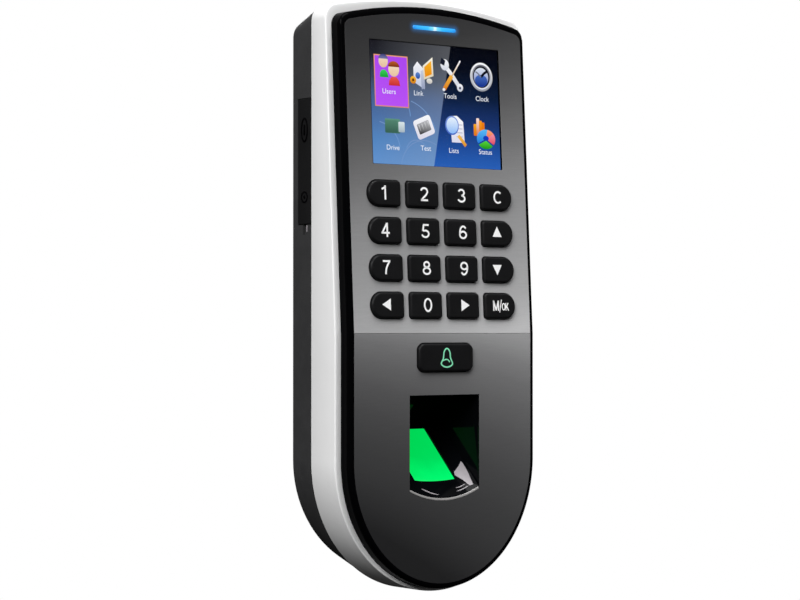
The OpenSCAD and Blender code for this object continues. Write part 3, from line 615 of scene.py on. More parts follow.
def piece(name, parts, body, nodes=(), slot=None, crease=35):
    """Object from parts of (points in mm, faces, finish), welded, with its faces turned outwards."""
    points = np.concatenate([np.asarray(p) for p, _, _ in parts]) * MM
    starts = np.cumsum([0] + [len(p) for p, _, _ in parts])
    faces = [tuple(np.add(f, s)) for (_, fs, _), s in zip(parts, starts) for f in fs]
    names = list(dict.fromkeys(kind for _, _, kind in parts))
    index = np.repeat([names.index(kind) for _, _, kind in parts], [len(fs) for _, fs, _ in parts])
    mesh = bpy.data.meshes.new(name)
    mesh.from_pydata(points, [], faces)
    mesh.polygons.foreach_set("material_index", index.astype(np.int32))
    for kind in names:
        mesh.materials.append(FINISH[kind])
    rework(mesh, join_points(1e-7), lambda bm: bmesh.ops.recalc_face_normals(bm, faces=bm.faces))
    return settle(name, mesh, body, nodes, slot or names[0], crease)


def settle(name, mesh, body, nodes, slot, crease):
    """Object of a finished mesh, smooth up to a crease angle, on its body and in place of its CAD nodes."""
    mesh.shade_smooth()
    mesh.set_sharp_from_angle(angle=math.radians(crease))
    obj = shown(name, mesh)
    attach(obj, body)
    if nodes:
        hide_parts(*nodes)
    return obj


def soften(node, width, kind, crease=30):
    """Merged copy of a CAD node with its edges rounded, shown in the node's place."""
    source = frame["nodes"][node].data
    mesh = bpy.data.meshes.new(node)
    mesh.from_pydata(coords(source), [], [tuple(f.vertices) for f in source.polygons])
    rework(mesh, join_points(3e-6), lambda bm: bmesh.ops.dissolve_limit(
        bm, angle_limit=math.radians(0.4), verts=bm.verts, edges=bm.edges))
    mesh.materials.append(FINISH[kind])
    obj = settle(node + "_made", mesh, frame["nodes"][node]["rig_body"], [node], kind, crease)
    if width:
        bevel = obj.modifiers.new("edges", "BEVEL")
        bevel.width = width * MM
        bevel.segments = 2
        bevel.limit_method = "ANGLE"
        bevel.angle_limit = math.radians(crease)
        bevel.harden_normals = True


# ---------- housing ----------


def arch(share, edge, count=7):
    """Quarter round of a rim's outer edge, as rows of (share, depth, 0)."""
    a = np.linspace(0, np.pi / 2, count)
    return [(share * (1 - math.cos(t)), edge * (1 - math.sin(t)), 0) for t in a]


def panel_part(keep_upper):
    """Part of the panels' outline above or below the fold, squared off at the fold."""
    side = (PANEL[:, 1] > 0.06) == keep_upper
    first = int(np.argmax(side & ~np.roll(side, 1)))
    loop = np.roll(PANEL, -first, 0)[:side.sum()]
    half, z = 33.2, 0.05 if keep_upper else -0.05
    loop = loop[np.abs(loop[:, 1]) > 0.06]
    if keep_upper:
        return np.r_[[[half, z]], loop, [[-half, z]]] / [1, COS]
    return np.r_[[[-half, z]], loop, [[half, z]]]


UPPER_PANEL = panel_part(True)
LOWER_PANEL = panel_part(False)


def key_loop(col, grow=0.0):
    """Outline of a keypad key: round at the pad's left and right ends."""
    end, corner = KEY_H / 2 - 0.05, 1.0
    return rounded(KEY_W + 2 * grow, KEY_H + 2 * grow,
                   (end if col == 0 else corner) + grow, (end if col == 3 else corner) + grow)


def key_at(col, row):
    """Middle of a keypad key: (across, height above the fold)."""
    return np.array([(col - 1.5) * PITCH_X, KEY_TOP_V - row * PITCH_V])


def bell_loop(grow=0.0):
    w, h = 21 + 2 * grow, 8.3 + 2 * grow
    return bowed(rounded(w, h, 1.6 + grow, 1.6 + grow), w, h, 0.9)


def light_loop(grow=0.0):
    w, h = 16.4 + 2 * grow, 1.2 + 2 * grow
    return rounded(w, h, h / 2 - 0.02, h / 2 - 0.02) + [0, LIGHT_V]


def key_holes(grow):
    """Openings for the keypad's keys, wound the other way round."""
    return [(key_loop(c, grow) + key_at(c, r))[::-1] for c in range(4) for r in range(4)]


screen_loop = rounded(SCREEN_W, SCREEN_H, 0.3, 0.3) + [0, SCREEN_V]
glass_loop = rounded(60.3, 42.3, 0.5, 0.5) + [0, SCREEN_V]

rim = [(0, 6.2, 0), *arch(0.62, 0.85), (0.9, 0.0, 0), (0.995, 0.01, 0), (1.0, 0.05, 0), (1.0, 1.0, 0), (1.0, 2.5, 0),
       (0.99, 2.5, 0), (0.99, 6.2, 0)]
upper_wall = flat_plate([UPPER_PANEL, *key_holes(0.35), glass_loop[::-1], light_loop(0.1)[::-1]], 1.02, 2.5, 0, upper)
block = np.array([[14.33, -51.7], [14.33, -16.8], [-14.33, -16.8], [-14.33, -51.7]])
lower_wall = flat_plate([LOWER_PANEL, (bell_loop(0.35) + [0, BELL_V])[::-1], block[::-1]], 1.02, 2.5)
piece("front_cover_made", [(*ring(COVER, PANEL, rim), "black_gloss"),
                           (*upper_wall, "black_gloss"), (*lower_wall, "black_gloss")],
      "housing", ["front_cover"])

crest = [(s, SHOULDER + 0.3 * ((s - 0.16) / 0.84) ** 1.6, 0) for s in np.linspace(0.16, 1, 12)[1:]]
shoulder = [(0.02, 0, REAR_D), (0.0, 0, REAR_D + 0.15), *[(s, n + SHOULDER, 0) for s, n, _ in arch(0.16, 0.36)],
            *crest, (1.0, 0, REAR_D)]
piece("mid_frame_made", [(*ring(FRAME, SEAM, shoulder), "white_frame")], "housing", ["mid_frame"])

panel_holes = [*key_holes(0.25), screen_loop[::-1], light_loop()[::-1]]
piece("upper_panel_made", [(*flat_plate([UPPER_PANEL, *panel_holes], 0.0, 1.0, 0.1, upper), "pearl_upper")],
      "housing", ["upper_panel"], "pearl_gray", 12)


def sill():
    """Cut edge along the foot of the recess, a chamfer whose light gray is a painted highlight: a strip that climbs as
    it goes in.
    """
    levels = [(0.0, 0.04), (0.05, 0.0), (0.3, 0.03), (0.6, 0.14), (0.8, 0.34), (0.8, 0.6), (0.4, 1.4), (0.0, 1.4)]
    return strip(np.array([np.insert(recess_edge(by), 1, n, axis=1) for by, n in levels]))


lower_skin = piece("lower_panel_made", [
    (*flat_plate([LOWER_PANEL, (bell_loop(0.25) + [0, BELL_V])[::-1], recess_loop()[::-1]], 0.0, 1.0, 0.1),
     "pearl_lower"), (*sill(), "edge_bright")], "housing", ["lower_panel"], "pearl_gray", 12)


def blacken(obj, test):
    """Black finish on the side faces of a piece that pass a test of their middles, in mm."""
    count = len(obj.data.polygons)
    middle, normal, index = np.empty(count * 3), np.empty(count * 3), np.empty(count, np.int32)
    obj.data.polygons.foreach_get("center", middle)
    obj.data.polygons.foreach_get("normal", normal)
    obj.data.polygons.foreach_get("material_index", index)
    middle, normal = middle.reshape(-1, 3) / MM, normal.reshape(-1, 3)
    obj.data.materials.append(FINISH["recess_black"])
    picked = test(middle) & (np.abs(normal[:, 1]) < 0.9) & (index == 0)
    obj.data.polygons.foreach_set("material_index", np.where(picked, len(obj.data.materials) - 1, index))


blacken(lower_skin, lambda p: (np.abs(p[:, 0]) < 13.2) & (p[:, 2] < RECESS_TOP + FOLD_Z + 0.2)
        & (p[:, 2] > RECESS_LOW - RECESS_BOW + FOLD_Z - 0.2))

# ---------- screen and light bar ----------

window = rounded(SCREEN_W - 0.1, SCREEN_H - 0.1, 0.3, 0.3) + [0, SCREEN_V]
clear = piece("screen_window_made", [(*flat_plate([window], 0.0, 0.98, 0.06, upper), "screen_glass")],
              "housing", ["screen_window"])
blacken(clear, lambda p: p[:, 0] < 99)
lcd = rounded(60, 42, 0.4, 0.4) + [0, SCREEN_V]
piece("lcd_panel_made", [(*flat_plate([lcd], 1.08, 2.48, 0.05, upper), "lcd_glass")], "housing", ["lcd_panel"])
piece("led_window_made", [(*flat_plate([light_loop(-0.05)], -0.08, 2.5, 0.3, upper), "blue_light")],
      "housing", ["led_window"])


class Sketch:
    """Flat coloured shapes on the display, in mm from the picture's top left corner, each a hair above the last."""

    def __init__(self):
        self.points, self.faces, self.ink, self.level = [], [], [], 1.06

    def shape(self, loop, colour, second=None):
        """One shape, whose colour fades to a second one from its top to its foot."""
        loop = np.asarray(loop, float)
        share = (loop[:, 1] - loop[:, 1].min()) / max(np.ptp(loop[:, 1]), 1e-6)
        first, last = np.array(lin(*colour)), np.array(lin(*(second or colour)))
        start = sum(map(len, self.points))
        self.points.append(np.c_[loop[:, 0] - SCREEN_W / 2, np.full(len(loop), self.level),
                                 SCREEN_V + SCREEN_H / 2 - loop[:, 1]])
        self.faces.append(tuple(range(start, start + len(loop))))
        self.ink.append(first + share[:, None] * (last - first))
        self.level -= 0.0004

    def disc(self, x, y, rx, ry, colour, second=None, start=0, end=360):
        loop = arc(x, y, rx, ry, start, end, 33 if end - start == 360 else 24)
        self.shape(loop[:-1] if end - start == 360 else np.r_[loop, [[x, y]]], colour, second)

    def box(self, x, y, w, h, colour, second=None, turn=0.0, r=0.3):
        c, s = math.cos(math.radians(turn)), math.sin(math.radians(turn))
        self.shape(rounded(w, h, r, r, 5) @ [[c, s], [-s, c]] + [x, y], colour, second)

    def line(self, path, width, colour, second=None):
        self.shape(band(np.asarray(path, float), width)[0], colour, second)

    def word(self, text, x, y, size=2.15, colour=(244, 248, 255)):
        points, faces = lettering(text, size, (0, 0), 0, 0, lambda p: p)
        start = sum(map(len, self.points))
        self.points.append(np.c_[points[:, 0] + x - SCREEN_W / 2, np.full(len(points), self.level),
                                 points[:, 2] + SCREEN_V + SCREEN_H / 2 - y])
        self.faces += [tuple(np.add(f, start)) for f in faces]
        self.ink.append(np.tile(lin(*colour), (len(points), 1)))
        self.level -= 0.0004


def draw_screen():
    """Generic menu: eight picture signs with a word under each, the first one picked out."""
    s = Sketch()
    for cx, cy, r, a0, a1 in ((2, 33, 9, 280, 350), (8, 22, 7, 300, 360), (20, 38, 9, 180, 300), (12, 30, 13, 285, 340),
                              (17, 33, 4, 200, 330)):
        s.line(arc(cx, cy, r, r, a0, a1, 20), 0.28, (120, 150, 196), (112, 156, 210))
    s.box(8.4, 11.9, 12.5, 15.4, (238, 158, 120), (226, 140, 130), 0, 0.1)
    s.box(8.4, 11.9, 11.8, 14.7, (176, 74, 242), (190, 84, 250), 0, 0.1)
    # two figures
    s.disc(5.6, 6.1, 1.7, 1.9, (250, 226, 196), (236, 196, 160))
    s.disc(5.6, 5.4, 1.75, 1.4, (60, 62, 120), (120, 120, 170), 180, 360)
    s.shape([[4.2, 10.9], [4.3, 9.6], [5.0, 8.7], [6.3, 8.7], [7.1, 9.6], [7.4, 10.9]], (60, 214, 90), (16, 160, 52))
    s.disc(9.4, 8.3, 2.0, 2.2, (255, 232, 200), (240, 200, 164))
    s.disc(9.4, 7.6, 2.1, 1.7, (196, 96, 40), (120, 44, 18), 180, 360)
    s.shape([[7.4, 13.2], [7.6, 11.7], [8.5, 10.6], [10.3, 10.6], [11.3, 11.7], [11.6, 13.2]],
            (240, 92, 76), (206, 44, 50))
    # case with a display and a dial
    s.shape([[16.7, 7.2], [18.2, 5.4], [20.7, 7.6], [20.7, 13.6], [16.7, 11.6]], (252, 252, 255), (190, 200, 224))
    s.shape([[19.4, 8.2], [20.7, 7.6], [20.9, 13.2], [19.6, 13.7]], (206, 212, 228), (150, 160, 190))
    s.shape([[20.2, 6.6], [24.0, 3.7], [24.2, 9.4], [20.6, 10.7]], (255, 250, 232), (226, 214, 180))
    s.shape([[20.8, 6.9], [23.5, 4.8], [23.6, 8.9], [21.0, 9.9]], (255, 186, 40), (240, 140, 10))
    s.disc(18.3, 9.6, 0.9, 1.0, (96, 140, 210), (30, 70, 160))
    s.disc(22.6, 11.0, 1.1, 0.8, (240, 236, 224), (200, 196, 190))
    s.disc(16.5, 11.0, 1.15, 1.15, (255, 190, 50), (210, 120, 10))
    s.disc(16.5, 11.0, 0.45, 0.45, (120, 60, 0))
    # crossed spanner and screwdriver
    s.line([[28.6, 5.9], [31.0, 8.4], [34.2, 12.4]], 1.35, (255, 255, 255), (210, 214, 224))
    s.disc(28.6, 5.7, 1.6, 1.7, (255, 255, 255), (214, 218, 228))
    s.shape([[27.4, 3.6], [28.9, 4.4], [28.4, 6.0], [26.9, 5.4]], (24, 28, 44))
    s.disc(34.2, 12.3, 1.15, 1.2, (250, 250, 252), (206, 210, 220))
    s.disc(34.2, 12.4, 0.4, 0.4, (40, 50, 80))
    s.line([[34.6, 4.1], [33.0, 6.4], [31.0, 9.2]], 0.5, (250, 250, 255), (220, 180, 120))
    s.line([[31.2, 8.9], [29.6, 11.0], [28.2, 13.0]], 1.3, (255, 190, 70), (220, 120, 20))
    s.disc(28.0, 13.2, 0.55, 0.45, (236, 236, 240))
    # clock
    s.disc(42.6, 8.5, 4.35, 4.4, (255, 255, 255), (150, 154, 164))
    s.disc(42.6, 8.5, 3.75, 3.8, (110, 112, 122), (232, 234, 240))
    s.disc(42.6, 8.5, 3.3, 3.35, (10, 12, 24), (16, 22, 44))
    s.disc(42.5, 8.6, 2.8, 2.9, (226, 232, 240), (50, 92, 190))
    s.disc(42.5, 9.6, 2.4, 1.8, (70, 110, 190), (16, 46, 140))
    s.line([[42.5, 8.5], [43.6, 7.4], [44.9, 6.6]], 0.8, (8, 10, 24))
    s.line([[42.5, 8.5], [41.2, 7.4], [40.4, 7.0]], 0.45, (120, 126, 140))
    # memory stick
    s.box(8.3, 25.2, 5.6, 4.3, (96, 150, 128), (64, 108, 92), 0, 0.4)
    s.box(7.8, 25.3, 4.6, 3.6, (84, 134, 112), (58, 98, 84), 0, 0.3)
    s.box(11.6, 25.4, 2.3, 3.1, (226, 238, 238), (170, 186, 196), 0, 0.3)
    # test pad
    s.box(20.0, 25.0, 6.8, 6.0, (255, 255, 255), (226, 222, 236), -22, 0.9)
    s.box(20.0, 25.0, 4.7, 3.2, (196, 196, 200), (28, 28, 30), -22, 0.3)
    for i in range(4):
        s.box(18.4 + 1.1 * i, 25.3 - 0.42 * i, 0.25, 2.0, (236, 236, 236), (140, 140, 140), -22, 0.1)
    # page and magnifier
    s.shape([[29.9, 21.1], [32.6, 20.9], [34.9, 22.6], [35.3, 29.0], [30.4, 29.0]], (255, 255, 255), (226, 224, 240))
    for i in range(4):
        s.line([[32.2, 23.6 + 1.2 * i], [33.4, 23.6 + 1.2 * i], [34.6, 23.6 + 1.2 * i]], 0.3, (190, 190, 210))
    s.disc(30.6, 23.9, 2.6, 2.9, (120, 150, 220), (60, 100, 200))
    s.disc(30.7, 23.9, 2.2, 2.45, (236, 246, 255), (140, 190, 250))
    s.line([[32.9, 26.9], [34.4, 28.4], [35.7, 29.9]], 1.1, (255, 200, 90), (220, 140, 30))
    # bars and pie
    for x, top, tone in ((39.5, 23.0, (250, 170, 30)), (40.6, 21.2, (255, 230, 220)), (41.6, 21.9, (255, 160, 30)),
                         (42.6, 22.4, (240, 130, 20))):
        s.box(x, (top + 26.6) / 2, 1.15, 26.6 - top, tone, (226, 110, 14), 0, 0.25)
    s.disc(43.6, 27.4, 3.6, 2.9, (90, 190, 250), (30, 120, 220), 150, 280)
    s.disc(43.6, 27.4, 3.6, 2.9, (255, 170, 130), (250, 110, 60), 280, 325)
    s.disc(43.6, 27.4, 3.6, 2.9, (250, 150, 170), (236, 70, 90), 325, 395)
    s.disc(43.6, 27.9, 3.3, 2.6, (90, 220, 60), (20, 150, 20), 40, 150)
    s.disc(43.6, 27.2, 1.1, 0.8, (20, 60, 190))
    for text, x, y in (("Users", 7.4, 15.7), ("Link", 18.3, 15.6), ("Tools", 30.3, 15.8), ("Clock", 42.6, 15.9),
                       ("Drive", 8.2, 32.3), ("Test", 20.4, 32.0), ("Lists", 31.0, 32.2), ("Status", 43.2, 32.1)):
        s.word(text, x, y)
    return s


sketch = draw_screen()
mesh = bpy.data.meshes.new("screen_signs")
mesh.from_pydata(upper(np.concatenate(sketch.points)) * MM, [], sketch.faces)
mesh.materials.append(FINISH["screen_paint"])
tint = mesh.attributes.new("ink", "FLOAT_COLOR", "POINT")
tint.data.foreach_set("color", np.concatenate(sketch.ink).astype(np.float32).ravel())
rework(mesh, lambda bm: bmesh.ops.reverse_faces(bm, faces=[f for f in bm.faces if f.normal.y > 0]))
signs = shown("screen_signs", mesh)
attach(signs, "housing")

# ---------- keys ----------

KEY_ROWS = [(-0.7, 3.3), (-0.7, 2.55), (0.0, 2.55), (0.0, -0.42), (0.02, -0.56), (0.09, -0.72), (0.22, -0.86),
            (0.38, -0.95), (0.58, -0.99), (0.8, -KEY_PROUD)]
MARK_BACK, MARK_FRONT = -0.97, -1.055
LAYOUT = ["key_1", "key_2", "key_3", "key_clear", "key_4", "key_5", "key_6", "key_up",
          "key_7", "key_8", "key_9", "key_down", "key_left", "key_0", "key_right", "key_ok"]


STROKE = 0.57


def stem(x0, z0, x1, z1):
    """Straight stroke between two points."""
    return np.linspace([x0, z0], [x1, z1], 5)


HOOK = np.array([[0.085, 0.33], [0.09, 0.52], [0.14, 0.76], [0.28, 0.925], [0.42, 0.91], [0.52, 0.77]])
# Centre lines of the printed signs, one unit tall: open lines, then closed ones
SIGNS = {
    "0": ([], [arc(0.31, 0.5, 0.235, 0.432, 0, 360, 49)[:-1]]),
    "1": ([stem(0.37, 0, 0.37, 1), np.array([[0.39, 0.93], [0.30, 0.84], [0.20, 0.77], [0.13, 0.73]])], []),
    "2": ([np.r_[arc(0.30, 0.69, 0.225, 0.243, 168, -30, 25), [[0.42, 0.43], [0.25, 0.26], [0.14, 0.13], [0.11, 0.07]]],
           stem(0.06, 0.068, 0.55, 0.068)], []),
    "3": ([arc(0.29, 0.725, 0.195, 0.208, 160, -90, 25), arc(0.29, 0.29, 0.235, 0.222, 90, -165, 29)], []),
    "4": ([stem(0.42, 0, 0.42, 1), stem(0.03, 0.29, 0.59, 0.29), stem(0.40, 0.95, 0.09, 0.30)], []),
    "5": ([stem(0.15, 0.932, 0.53, 0.932), stem(0.18, 0.94, 0.125, 0.49), arc(0.29, 0.30, 0.24, 0.235, 128, -165, 31)],
          []),
    "6": ([smooth(HOOK, False)], [arc(0.315, 0.305, 0.225, 0.238, 0, 360, 41)[:-1]]),
    "7": ([stem(0.06, 0.932, 0.56, 0.932),
           smooth(np.array([[0.52, 0.92], [0.38, 0.68], [0.27, 0.38], [0.24, 0]]), False)], []),
    "8": ([], [arc(0.31, 0.74, 0.18, 0.193, 0, 360, 37)[:-1], arc(0.31, 0.29, 0.235, 0.222, 0, 360, 41)[:-1]]),
    "9": ([smooth([0.63, 1] - HOOK, False)], [arc(0.315, 0.695, 0.225, 0.238, 0, 360, 41)[:-1]]),
    "C": ([arc(0.33, 0.5, 0.27, 0.432, 48, 312, 37)], []),
    "O": ([], [arc(0.31, 0.5, 0.25, 0.42, 0, 360, 41)[:-1]]),
    "K": ([stem(0.09, 0, 0.09, 1), stem(0.12, 0.36, 0.52, 1), stem(0.26, 0.56, 0.56, 0)], []),
    "M": ([stem(0.05, 0, 0.05, 1), stem(0.57, 0, 0.57, 1), stem(0.06, 0.97, 0.31, 0.03),
           stem(0.56, 0.97, 0.31, 0.03)], []),
    "/": ([stem(0.1, -0.05, 0.52, 1.05)], []),
}


def sign(mark, at, tall, wide, stroke=STROKE):
    """Printed sign: its centre lines scaled to a height and a width, and drawn at one line width."""
    corner = np.array(at) - [wide / 2, tall / 2]
    return [flat_plate(band(path * [wide / 0.62, tall] + corner, stroke, closed), MARK_FRONT, MARK_BACK, 0, upper)
            for paths, closed in zip(SIGNS[mark], (False, True)) for path in paths]


def arrow(turn, at):
    """Triangle that points up, turned by quarter turns."""
    c, s = round(math.cos(turn)), round(math.sin(turn))
    loop = np.array([[1.75, -1.5], [0, 1.6], [-1.75, -1.5]]) @ [[c, s], [-s, c]]
    return [flat_plate([loop + at], MARK_FRONT, MARK_BACK, 0, upper)]


def legend(name, col, at):
    """Print of a key: a number, an arrow, a C, or the small letters of the last key."""
    if name in ARROWS:
        turn, x, v = ARROWS[name]
        return arrow(turn, at + [x, v])
    if name == "key_ok":
        letters = (("M", -1.95, 0.1, 3.1, 2.2, 0.46), ("/", -0.2, 0, 3.5, 1.2, 0.3),
                   ("O", 1.0, -0.2, 2.3, 1.35, 0.34), ("K", 2.35, -0.2, 2.3, 1.3, 0.34))
        return [plate for mark, x, v, *size in letters for plate in sign(mark, at + [x, v], *size)]
    if name == "key_clear":
        return sign("C", at + [0.15, 0.1], 3.8, 3.4)
    return sign(name[-1], at + [-0.35 if col == 0 else 0.3, 0.15], 4.15, 3.3)


ARROWS = {"key_up": (0, -0.6, 0.55), "key_left": (math.pi / 2, -0.8, 0.2), "key_down": (math.pi, -1.0, 0),
          "key_right": (-math.pi / 2, 0.3, 0.15)}
for number, name in enumerate(LAYOUT):
    col, row = number % 4, number // 4
    at = key_at(col, row)
    points, faces = cap(key_loop(col), KEY_ROWS, 0.03, lambda p: upper(p + [at[0], 0, at[1]]))
    marks = legend(name, col, at)
    piece(name + "_made", [(points, faces, "key_black"), *[(*m, "key_print") for m in marks]], name, [name])

bell = np.array([[0, 2.75], [0.55, 2.5], [1.0, 1.9], [1.2, 1.2], [1.22, 0.5], [1.35, -0.2], [1.7, -0.9], [2.1, -1.5],
                 [2.12, -1.95], [1.6, -2.45], [0.8, -2.75], [0, -2.85]])
bell = np.r_[bell, (bell[1:-1] * [-1, 1])[::-1]]
opening = np.array([[-1.55, -0.95], [-0.9, -0.68], [-0.2, -0.5], [0.3, -0.6], [0.75, -0.95], [1.0, -1.35]])
bell_marks = [flat_plate([loop + [0, BELL_V] for loop in band(smooth(bell, True)[::-1], 0.42, True)],
                         MARK_FRONT, MARK_BACK),
              flat_plate([loop + [0, BELL_V] for loop in band(smooth(opening, False), 0.36)],
                         MARK_FRONT + 0.02, MARK_BACK)]
points, faces = cap(bell_loop(), KEY_ROWS, 0.03, lambda p: lower(p + [0, 0, BELL_V]))
piece("key_bell_made", [(points, faces, "key_black"), *[(*m, "bell_print") for m in bell_marks]],
      "key_bell", ["key_bell"])

# ---------- fingerprint recess ----------

LINER_EDGE = 0.14
ALONG = np.array([math.sin(RAMP), math.cos(RAMP)])
PROUD = np.array([-math.cos(RAMP), math.sin(RAMP)])


def groove(x, s):
    """Ramp of the recess: a point s up the slope, raised by the sagitta of the groove's circle at x."""
    rise = GROOVE_R - np.sqrt(GROOVE_R ** 2 - x ** 2)
    return [0, GROOVE_Z] + s[..., None] * ALONG + rise[..., None] * PROUD


def liner():
    """Black lining of the recess: a grooved ramp, a hood of a quarter ellipse over it and flat side walls."""
    half = RECESS_HALF - 0.03
    x = np.r_[-half, np.linspace(-12.8, -7.88, 9), np.linspace(-7.86, 7.86, 25), np.linspace(7.88, 12.8, 9), half]
    s = np.r_[0, 0.8, np.linspace(2.0, 6.86, 10), 6.88, np.linspace(8, 27, 15), 28.4, 28.42, 29.3]
    xx, ss = np.meshgrid(x, s, indexing="ij")
    rise = GROOVE_R - np.sqrt(GROOVE_R ** 2 - xx ** 2)
    ss = np.maximum(ss, (LINER_EDGE - rise * PROUD[0]) / ALONG[0] + 0.01 * ss)
    ramp = groove(xx, ss)
    a = np.linspace(0, np.pi / 2, 17)
    hood = np.c_[6 + 15 * np.cos(a), -27.5 + 9.2 * np.sin(a)]
    hood = np.r_[hood, [[4, RECESS_TOP], [1.0, RECESS_TOP]]]
    roof = np.broadcast_to(hood, (len(x), *hood.shape))
    sheet = np.concatenate([ramp, roof], 1)
    points = np.concatenate([np.repeat(x[:, None], sheet.shape[1], 1)[..., None], sheet], -1)
    count = sheet.shape[1]
    quads = weave(len(x), count, False, False)
    i, j = quads[:, 0] // count, quads[:, 0] % count
    inside = (np.abs(x[i] + x[i + 1]) / 2 < 7.86) & (j >= 12) & (j < 28)
    quads = quads[~inside]
    walls = [tuple(side * count + np.arange(count)) for side in (0, len(x) - 1)]
    return lower(points.reshape(-1, 3)), [tuple(f) for f in quads] + walls


bezel = piece("sensor_bezel_made", [(*liner(), "recess_black")], "housing", ["sensor_bezel"])
wall = bezel.modifiers.new("wall", "SOLIDIFY")
wall.thickness = 1.0 * MM
wall.offset = 1.0


def highlight_slab(left, right, lift=0.05):
    """Thin slab on the ramp between two edges, given as points of (across, up the slope), for a painted highlight."""
    left, right = np.array(left, float), np.array(right, float)
    edges = [(left, lift), (right, lift), (right, -0.02), (left, -0.02)]
    return strip(np.array([np.insert(groove(edge[:, 0], edge[:, 1]) + height * PROUD, 0, edge[:, 0], axis=1)
                           for edge, height in edges]))


def sliver(path, width):
    """Painted highlight slab of one width that tapers at its ends."""
    path = smooth(np.array(path, float), False)
    taper = width / 2 * np.sin(np.linspace(0.15, np.pi - 0.15, len(path)))[:, None]
    return highlight_slab(path + taper * [0, 1], path - taper * [0, 1])


# Painted reflection and highlights on the black ramp: a pale patch at its lower right and thin pale glints below the
# platen
painted_reflection_patch = highlight_slab([(12.1, 12.6), (10.9, 11.3), (8.3, 9.4), (8.0, 8.1), (9.5, 5.9), (10.6, 3.2)],
                 [(12.25, 12.6), (12.45, 11.6), (12.4, 9.8), (12.3, 8.0), (12.0, 5.6), (11.7, 3.4)])
painted_glints = [sliver(path, width) for path, width in (
    ([(-7.1, 3.5), (-6.2, 3.1), (-4.0, 2.0), (-1.6, 1.4)], 0.55), ([(5.8, 3.4), (7.6, 3.6), (9.4, 4.2)], 0.3),
    ([(5.4, 2.1), (7.7, 2.5), (10.1, 3.3)], 0.3))]
piece("ramp_painted_highlights", [(*slab, "facet_gray") for slab in (painted_reflection_patch, *painted_glints)], "housing", slot="recess_black")

platen_low = np.array([PLATEN_N, GROOVE_Z + 0.15 + PLATEN_N / math.tan(RAMP)])


def prism():
    """Glass prism under the finger: a bevelled plate on the ramp's slope."""
    def place(p):
        x, n, v = np.moveaxis(p, -1, 0)
        q = platen_low + v[..., None] * ALONG - n[..., None] * PROUD
        return lower(np.stack([x, q[..., 0], q[..., 1]], -1))
    loop = rounded(PLATEN_W, PLATEN_L, 0.25, 0.25, 4) + [0, PLATEN_L / 2]
    return flat_plate([loop], 0.0, 5.0, 0.15, place)


piece("sensor_prism_made", [(*prism(), "green_platen")], "housing", ["sensor_prism"])

# ---------- port plug ----------

plug_loop = rounded(7.0, 37.2, 0.5, 0.5, 5) + [6.0, 50.7]


def side_plate(loops, n0, n1, edge):
    """Plate on the left side, from loops of (distance from the wall, height above the fold)."""
    return flat_plate(loops, n0, n1, edge, left_side)


plug_marks = [
    side_plate(band(arc(5.9, 60.0, 1.5, 3.4, 0, 360, 41)[:-1], 0.6, True), -0.14, 0.3, 0.05),
    side_plate([rounded(0.8, 3.2, 0.3, 0.3, 4) + [5.9, 60.0]], -0.14, 0.3, 0.05),
    side_plate(band(arc(5.9, 40.2, 1.5, 1.5, 0, 360, 33)[:-1], 0.5, True), -0.14, 0.3, 0.05),
    side_plate([arc(5.9, 40.2, 0.5, 0.5, 0, 360, 17)[:-1]], -0.14, 0.3, 0.05)]
piece("port_plug_made", [
    (*side_plate([plug_loop], 0.0, 1.7, 0.3), "black_rubber"),
    (*side_plate([rounded(5, 33.2, 0.3, 0.3, 4) + [6.0, 50.2]], 1.6, 2.6, 0.2), "black_rubber"),
    *[(*m, "black_gloss") for m in plug_marks]], "port_plug", ["port_plug"])
# Painted highlight: a pale sliver at the edge of the plug's fingernail nick, standing in for the light on that edge
piece("nick_painted_highlight", [(*side_plate([rounded(0.42, 2.1, 0.15, 0.15, 4) + [7.2, 30.9]], -0.06, 0.4, 0.05), "facet_gray")],
      "housing", slot="dark_cover")

# ---------- the other CAD pieces, with rounded edges ----------

OTHERS = {
    "rear_cover": (0.0, "dark_cover"), "wall_plate": (0.12, "plated_steel"), "casing_screws": (0.08, "black_screws"),
    "security_screw": (0.08, "bright_screws"), "board_screws": (0.06, "bright_screws"),
    "keypad_mat": (0.0, "pad_rubber"), "bell_mat": (0.0, "pad_rubber"), "keypad_board": (0.0, "circuit_green"),
    "bell_board": (0.0, "circuit_green"), "key_contacts": (0.0, "gold_pads"), "lcd_frame": (0.1, "lcd_case"),
    "lcd_flex": (0.0, "flex_amber"), "led_board": (0.0, "circuit_green"), "sensor_housing": (0.0, "sensor_black"),
    "sensor_board": (0.05, "circuit_green"), "sensor_lens": (0.05, "sensor_black"),
    "sensor_leds": (0.05, "sensor_light"), "sensor_cable": (0.0, "ribbon_white"),
    "main_board": (0.0, "circuit_green"), "main_chips": (0.12, "chip_black"), "capacitors": (0.3, "capacitor_blue"),
    "relay": (0.4, "relay_blue"), "terminal_headers": (0.08, "header_ivory"), "usb_socket": (0.08, "socket_steel"),
    "reset_switch": (0.1, "sensor_black"), "reset_button": (0.15, "button_white"), "speaker": (0.2, "speaker_black"),
    "clock_battery": (0.15, "plated_steel"), "battery_holder": (0.1, "header_ivory"),
    "tamper_switch": (0.1, "sensor_black"), "tamper_plunger": (0.15, "button_white"),
    "board_link": (0.0, "ribbon_white"),
}
for node, (width, kind) in OTHERS.items():
    soften(node, width, kind)

# ---------- studio ----------


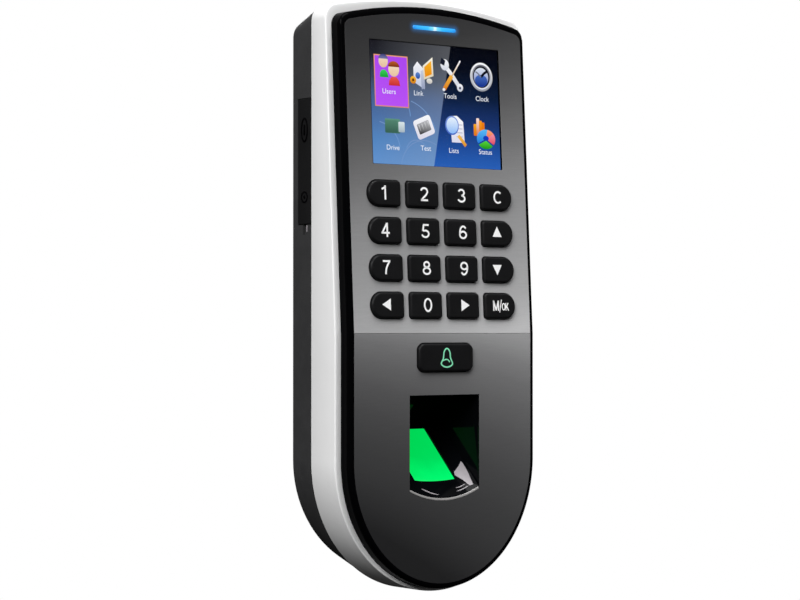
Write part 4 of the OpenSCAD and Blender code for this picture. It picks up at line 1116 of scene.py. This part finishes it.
def stage_floor():
    """Pale floor well below the terminal, which hangs at its own height: a wide round sheet."""
    r = np.linspace(0, 2.4, 9)[:, None]
    a = np.linspace(0, 2 * np.pi, 73)[:-1]
    points = np.stack([r * np.cos(a), r * np.sin(a), np.full((9, 72), -0.42)], -1).reshape(-1, 3)
    sheet = bpy.data.meshes.new("floor")
    sheet.from_pydata(points, [], [tuple(f) for f in weave(9, 72, False, True)])
    rework(sheet, join_points(1e-6))
    sheet.materials.append(moulded("pale_floor", (0.86, 0.86, 0.86, 1), 0.9, 60.0, 1e-5, 0.01))
    obj = shown("floor", sheet)
    obj.visible_diffuse = False
    obj.visible_glossy = False


def studio_sky():
    """White all round for the camera. As light: bright above, dim below."""
    world = bpy.data.worlds.new("studio")
    bpy.context.scene.world = world
    world.use_nodes = True
    world.node_tree.nodes.clear()
    add, link = world.node_tree.nodes.new, world.node_tree.links.new
    out, mix = add("ShaderNodeOutputWorld"), add("ShaderNodeMixShader")
    plain, lit = add("ShaderNodeBackground"), add("ShaderNodeBackground")
    path, place, split = add("ShaderNodeLightPath"), add("ShaderNodeTexCoord"), add("ShaderNodeSeparateXYZ")
    height, ramp = add("ShaderNodeMapRange"), add("ShaderNodeValToRGB")
    height.inputs["From Min"].default_value = -1
    set_stops(ramp.color_ramp.elements, [(at, (v, v, v, 1)) for at, v in (
        (0.0, 0.01), (0.46, 0.03), (0.56, 0.16), (0.8, 0.4), (1.0, 0.5))])
    plain.inputs["Color"].default_value = (1, 1, 1, 1)
    link(place.outputs["Generated"], split.inputs[0])
    link(split.outputs["Z"], height.inputs["Value"])
    link(height.outputs[0], ramp.inputs[0])
    link(ramp.outputs[0], lit.inputs["Color"])
    link(path.outputs["Is Camera Ray"], mix.inputs[0])
    link(lit.outputs[0], mix.inputs[1])
    link(plain.outputs[0], mix.inputs[2])
    link(mix.outputs[0], out.inputs[0])


def softbox(name, at, aim, size, watts):
    """Square soft light at a point, turned to face another."""
    light = bpy.data.lights.new(name, "AREA")
    light.shape = "RECTANGLE"
    light.size, light.size_y = size
    light.energy = watts
    obj = shown(name, light)
    run = np.array(aim, float) - at
    run /= np.linalg.norm(run)
    obj.location = at
    obj.rotation_euler = (math.acos(-run[2]), 0, math.atan2(run[0], -run[1]) + math.pi)
    return obj


stage_floor()
studio_sky()
softbox("key_light", (-1.1, -0.66, 0.78), (0, 0, 0), (0.7, 0.7), 21.2)
softbox("top_light", (0.0, -0.5, 1.15), (0, 0, 0), (0.9, 0.6), 13)
softbox("back_light", (0.7, 1.1, 0.5), (0, 0, 0), (0.7, 0.5), 14)

lens = bpy.data.cameras.new("camera")
lens.sensor_width = 36.0
lens.lens = 105.98
lens.clip_start = 0.01
camera = shown("camera", lens)
camera.location = (-0.43175, -0.57702, -0.01011)
camera.rotation_euler = (math.radians(90.70), 0, math.radians(-36.99))
bpy.context.scene.camera = camera
bpy.context.scene.view_settings.view_transform = "Standard"
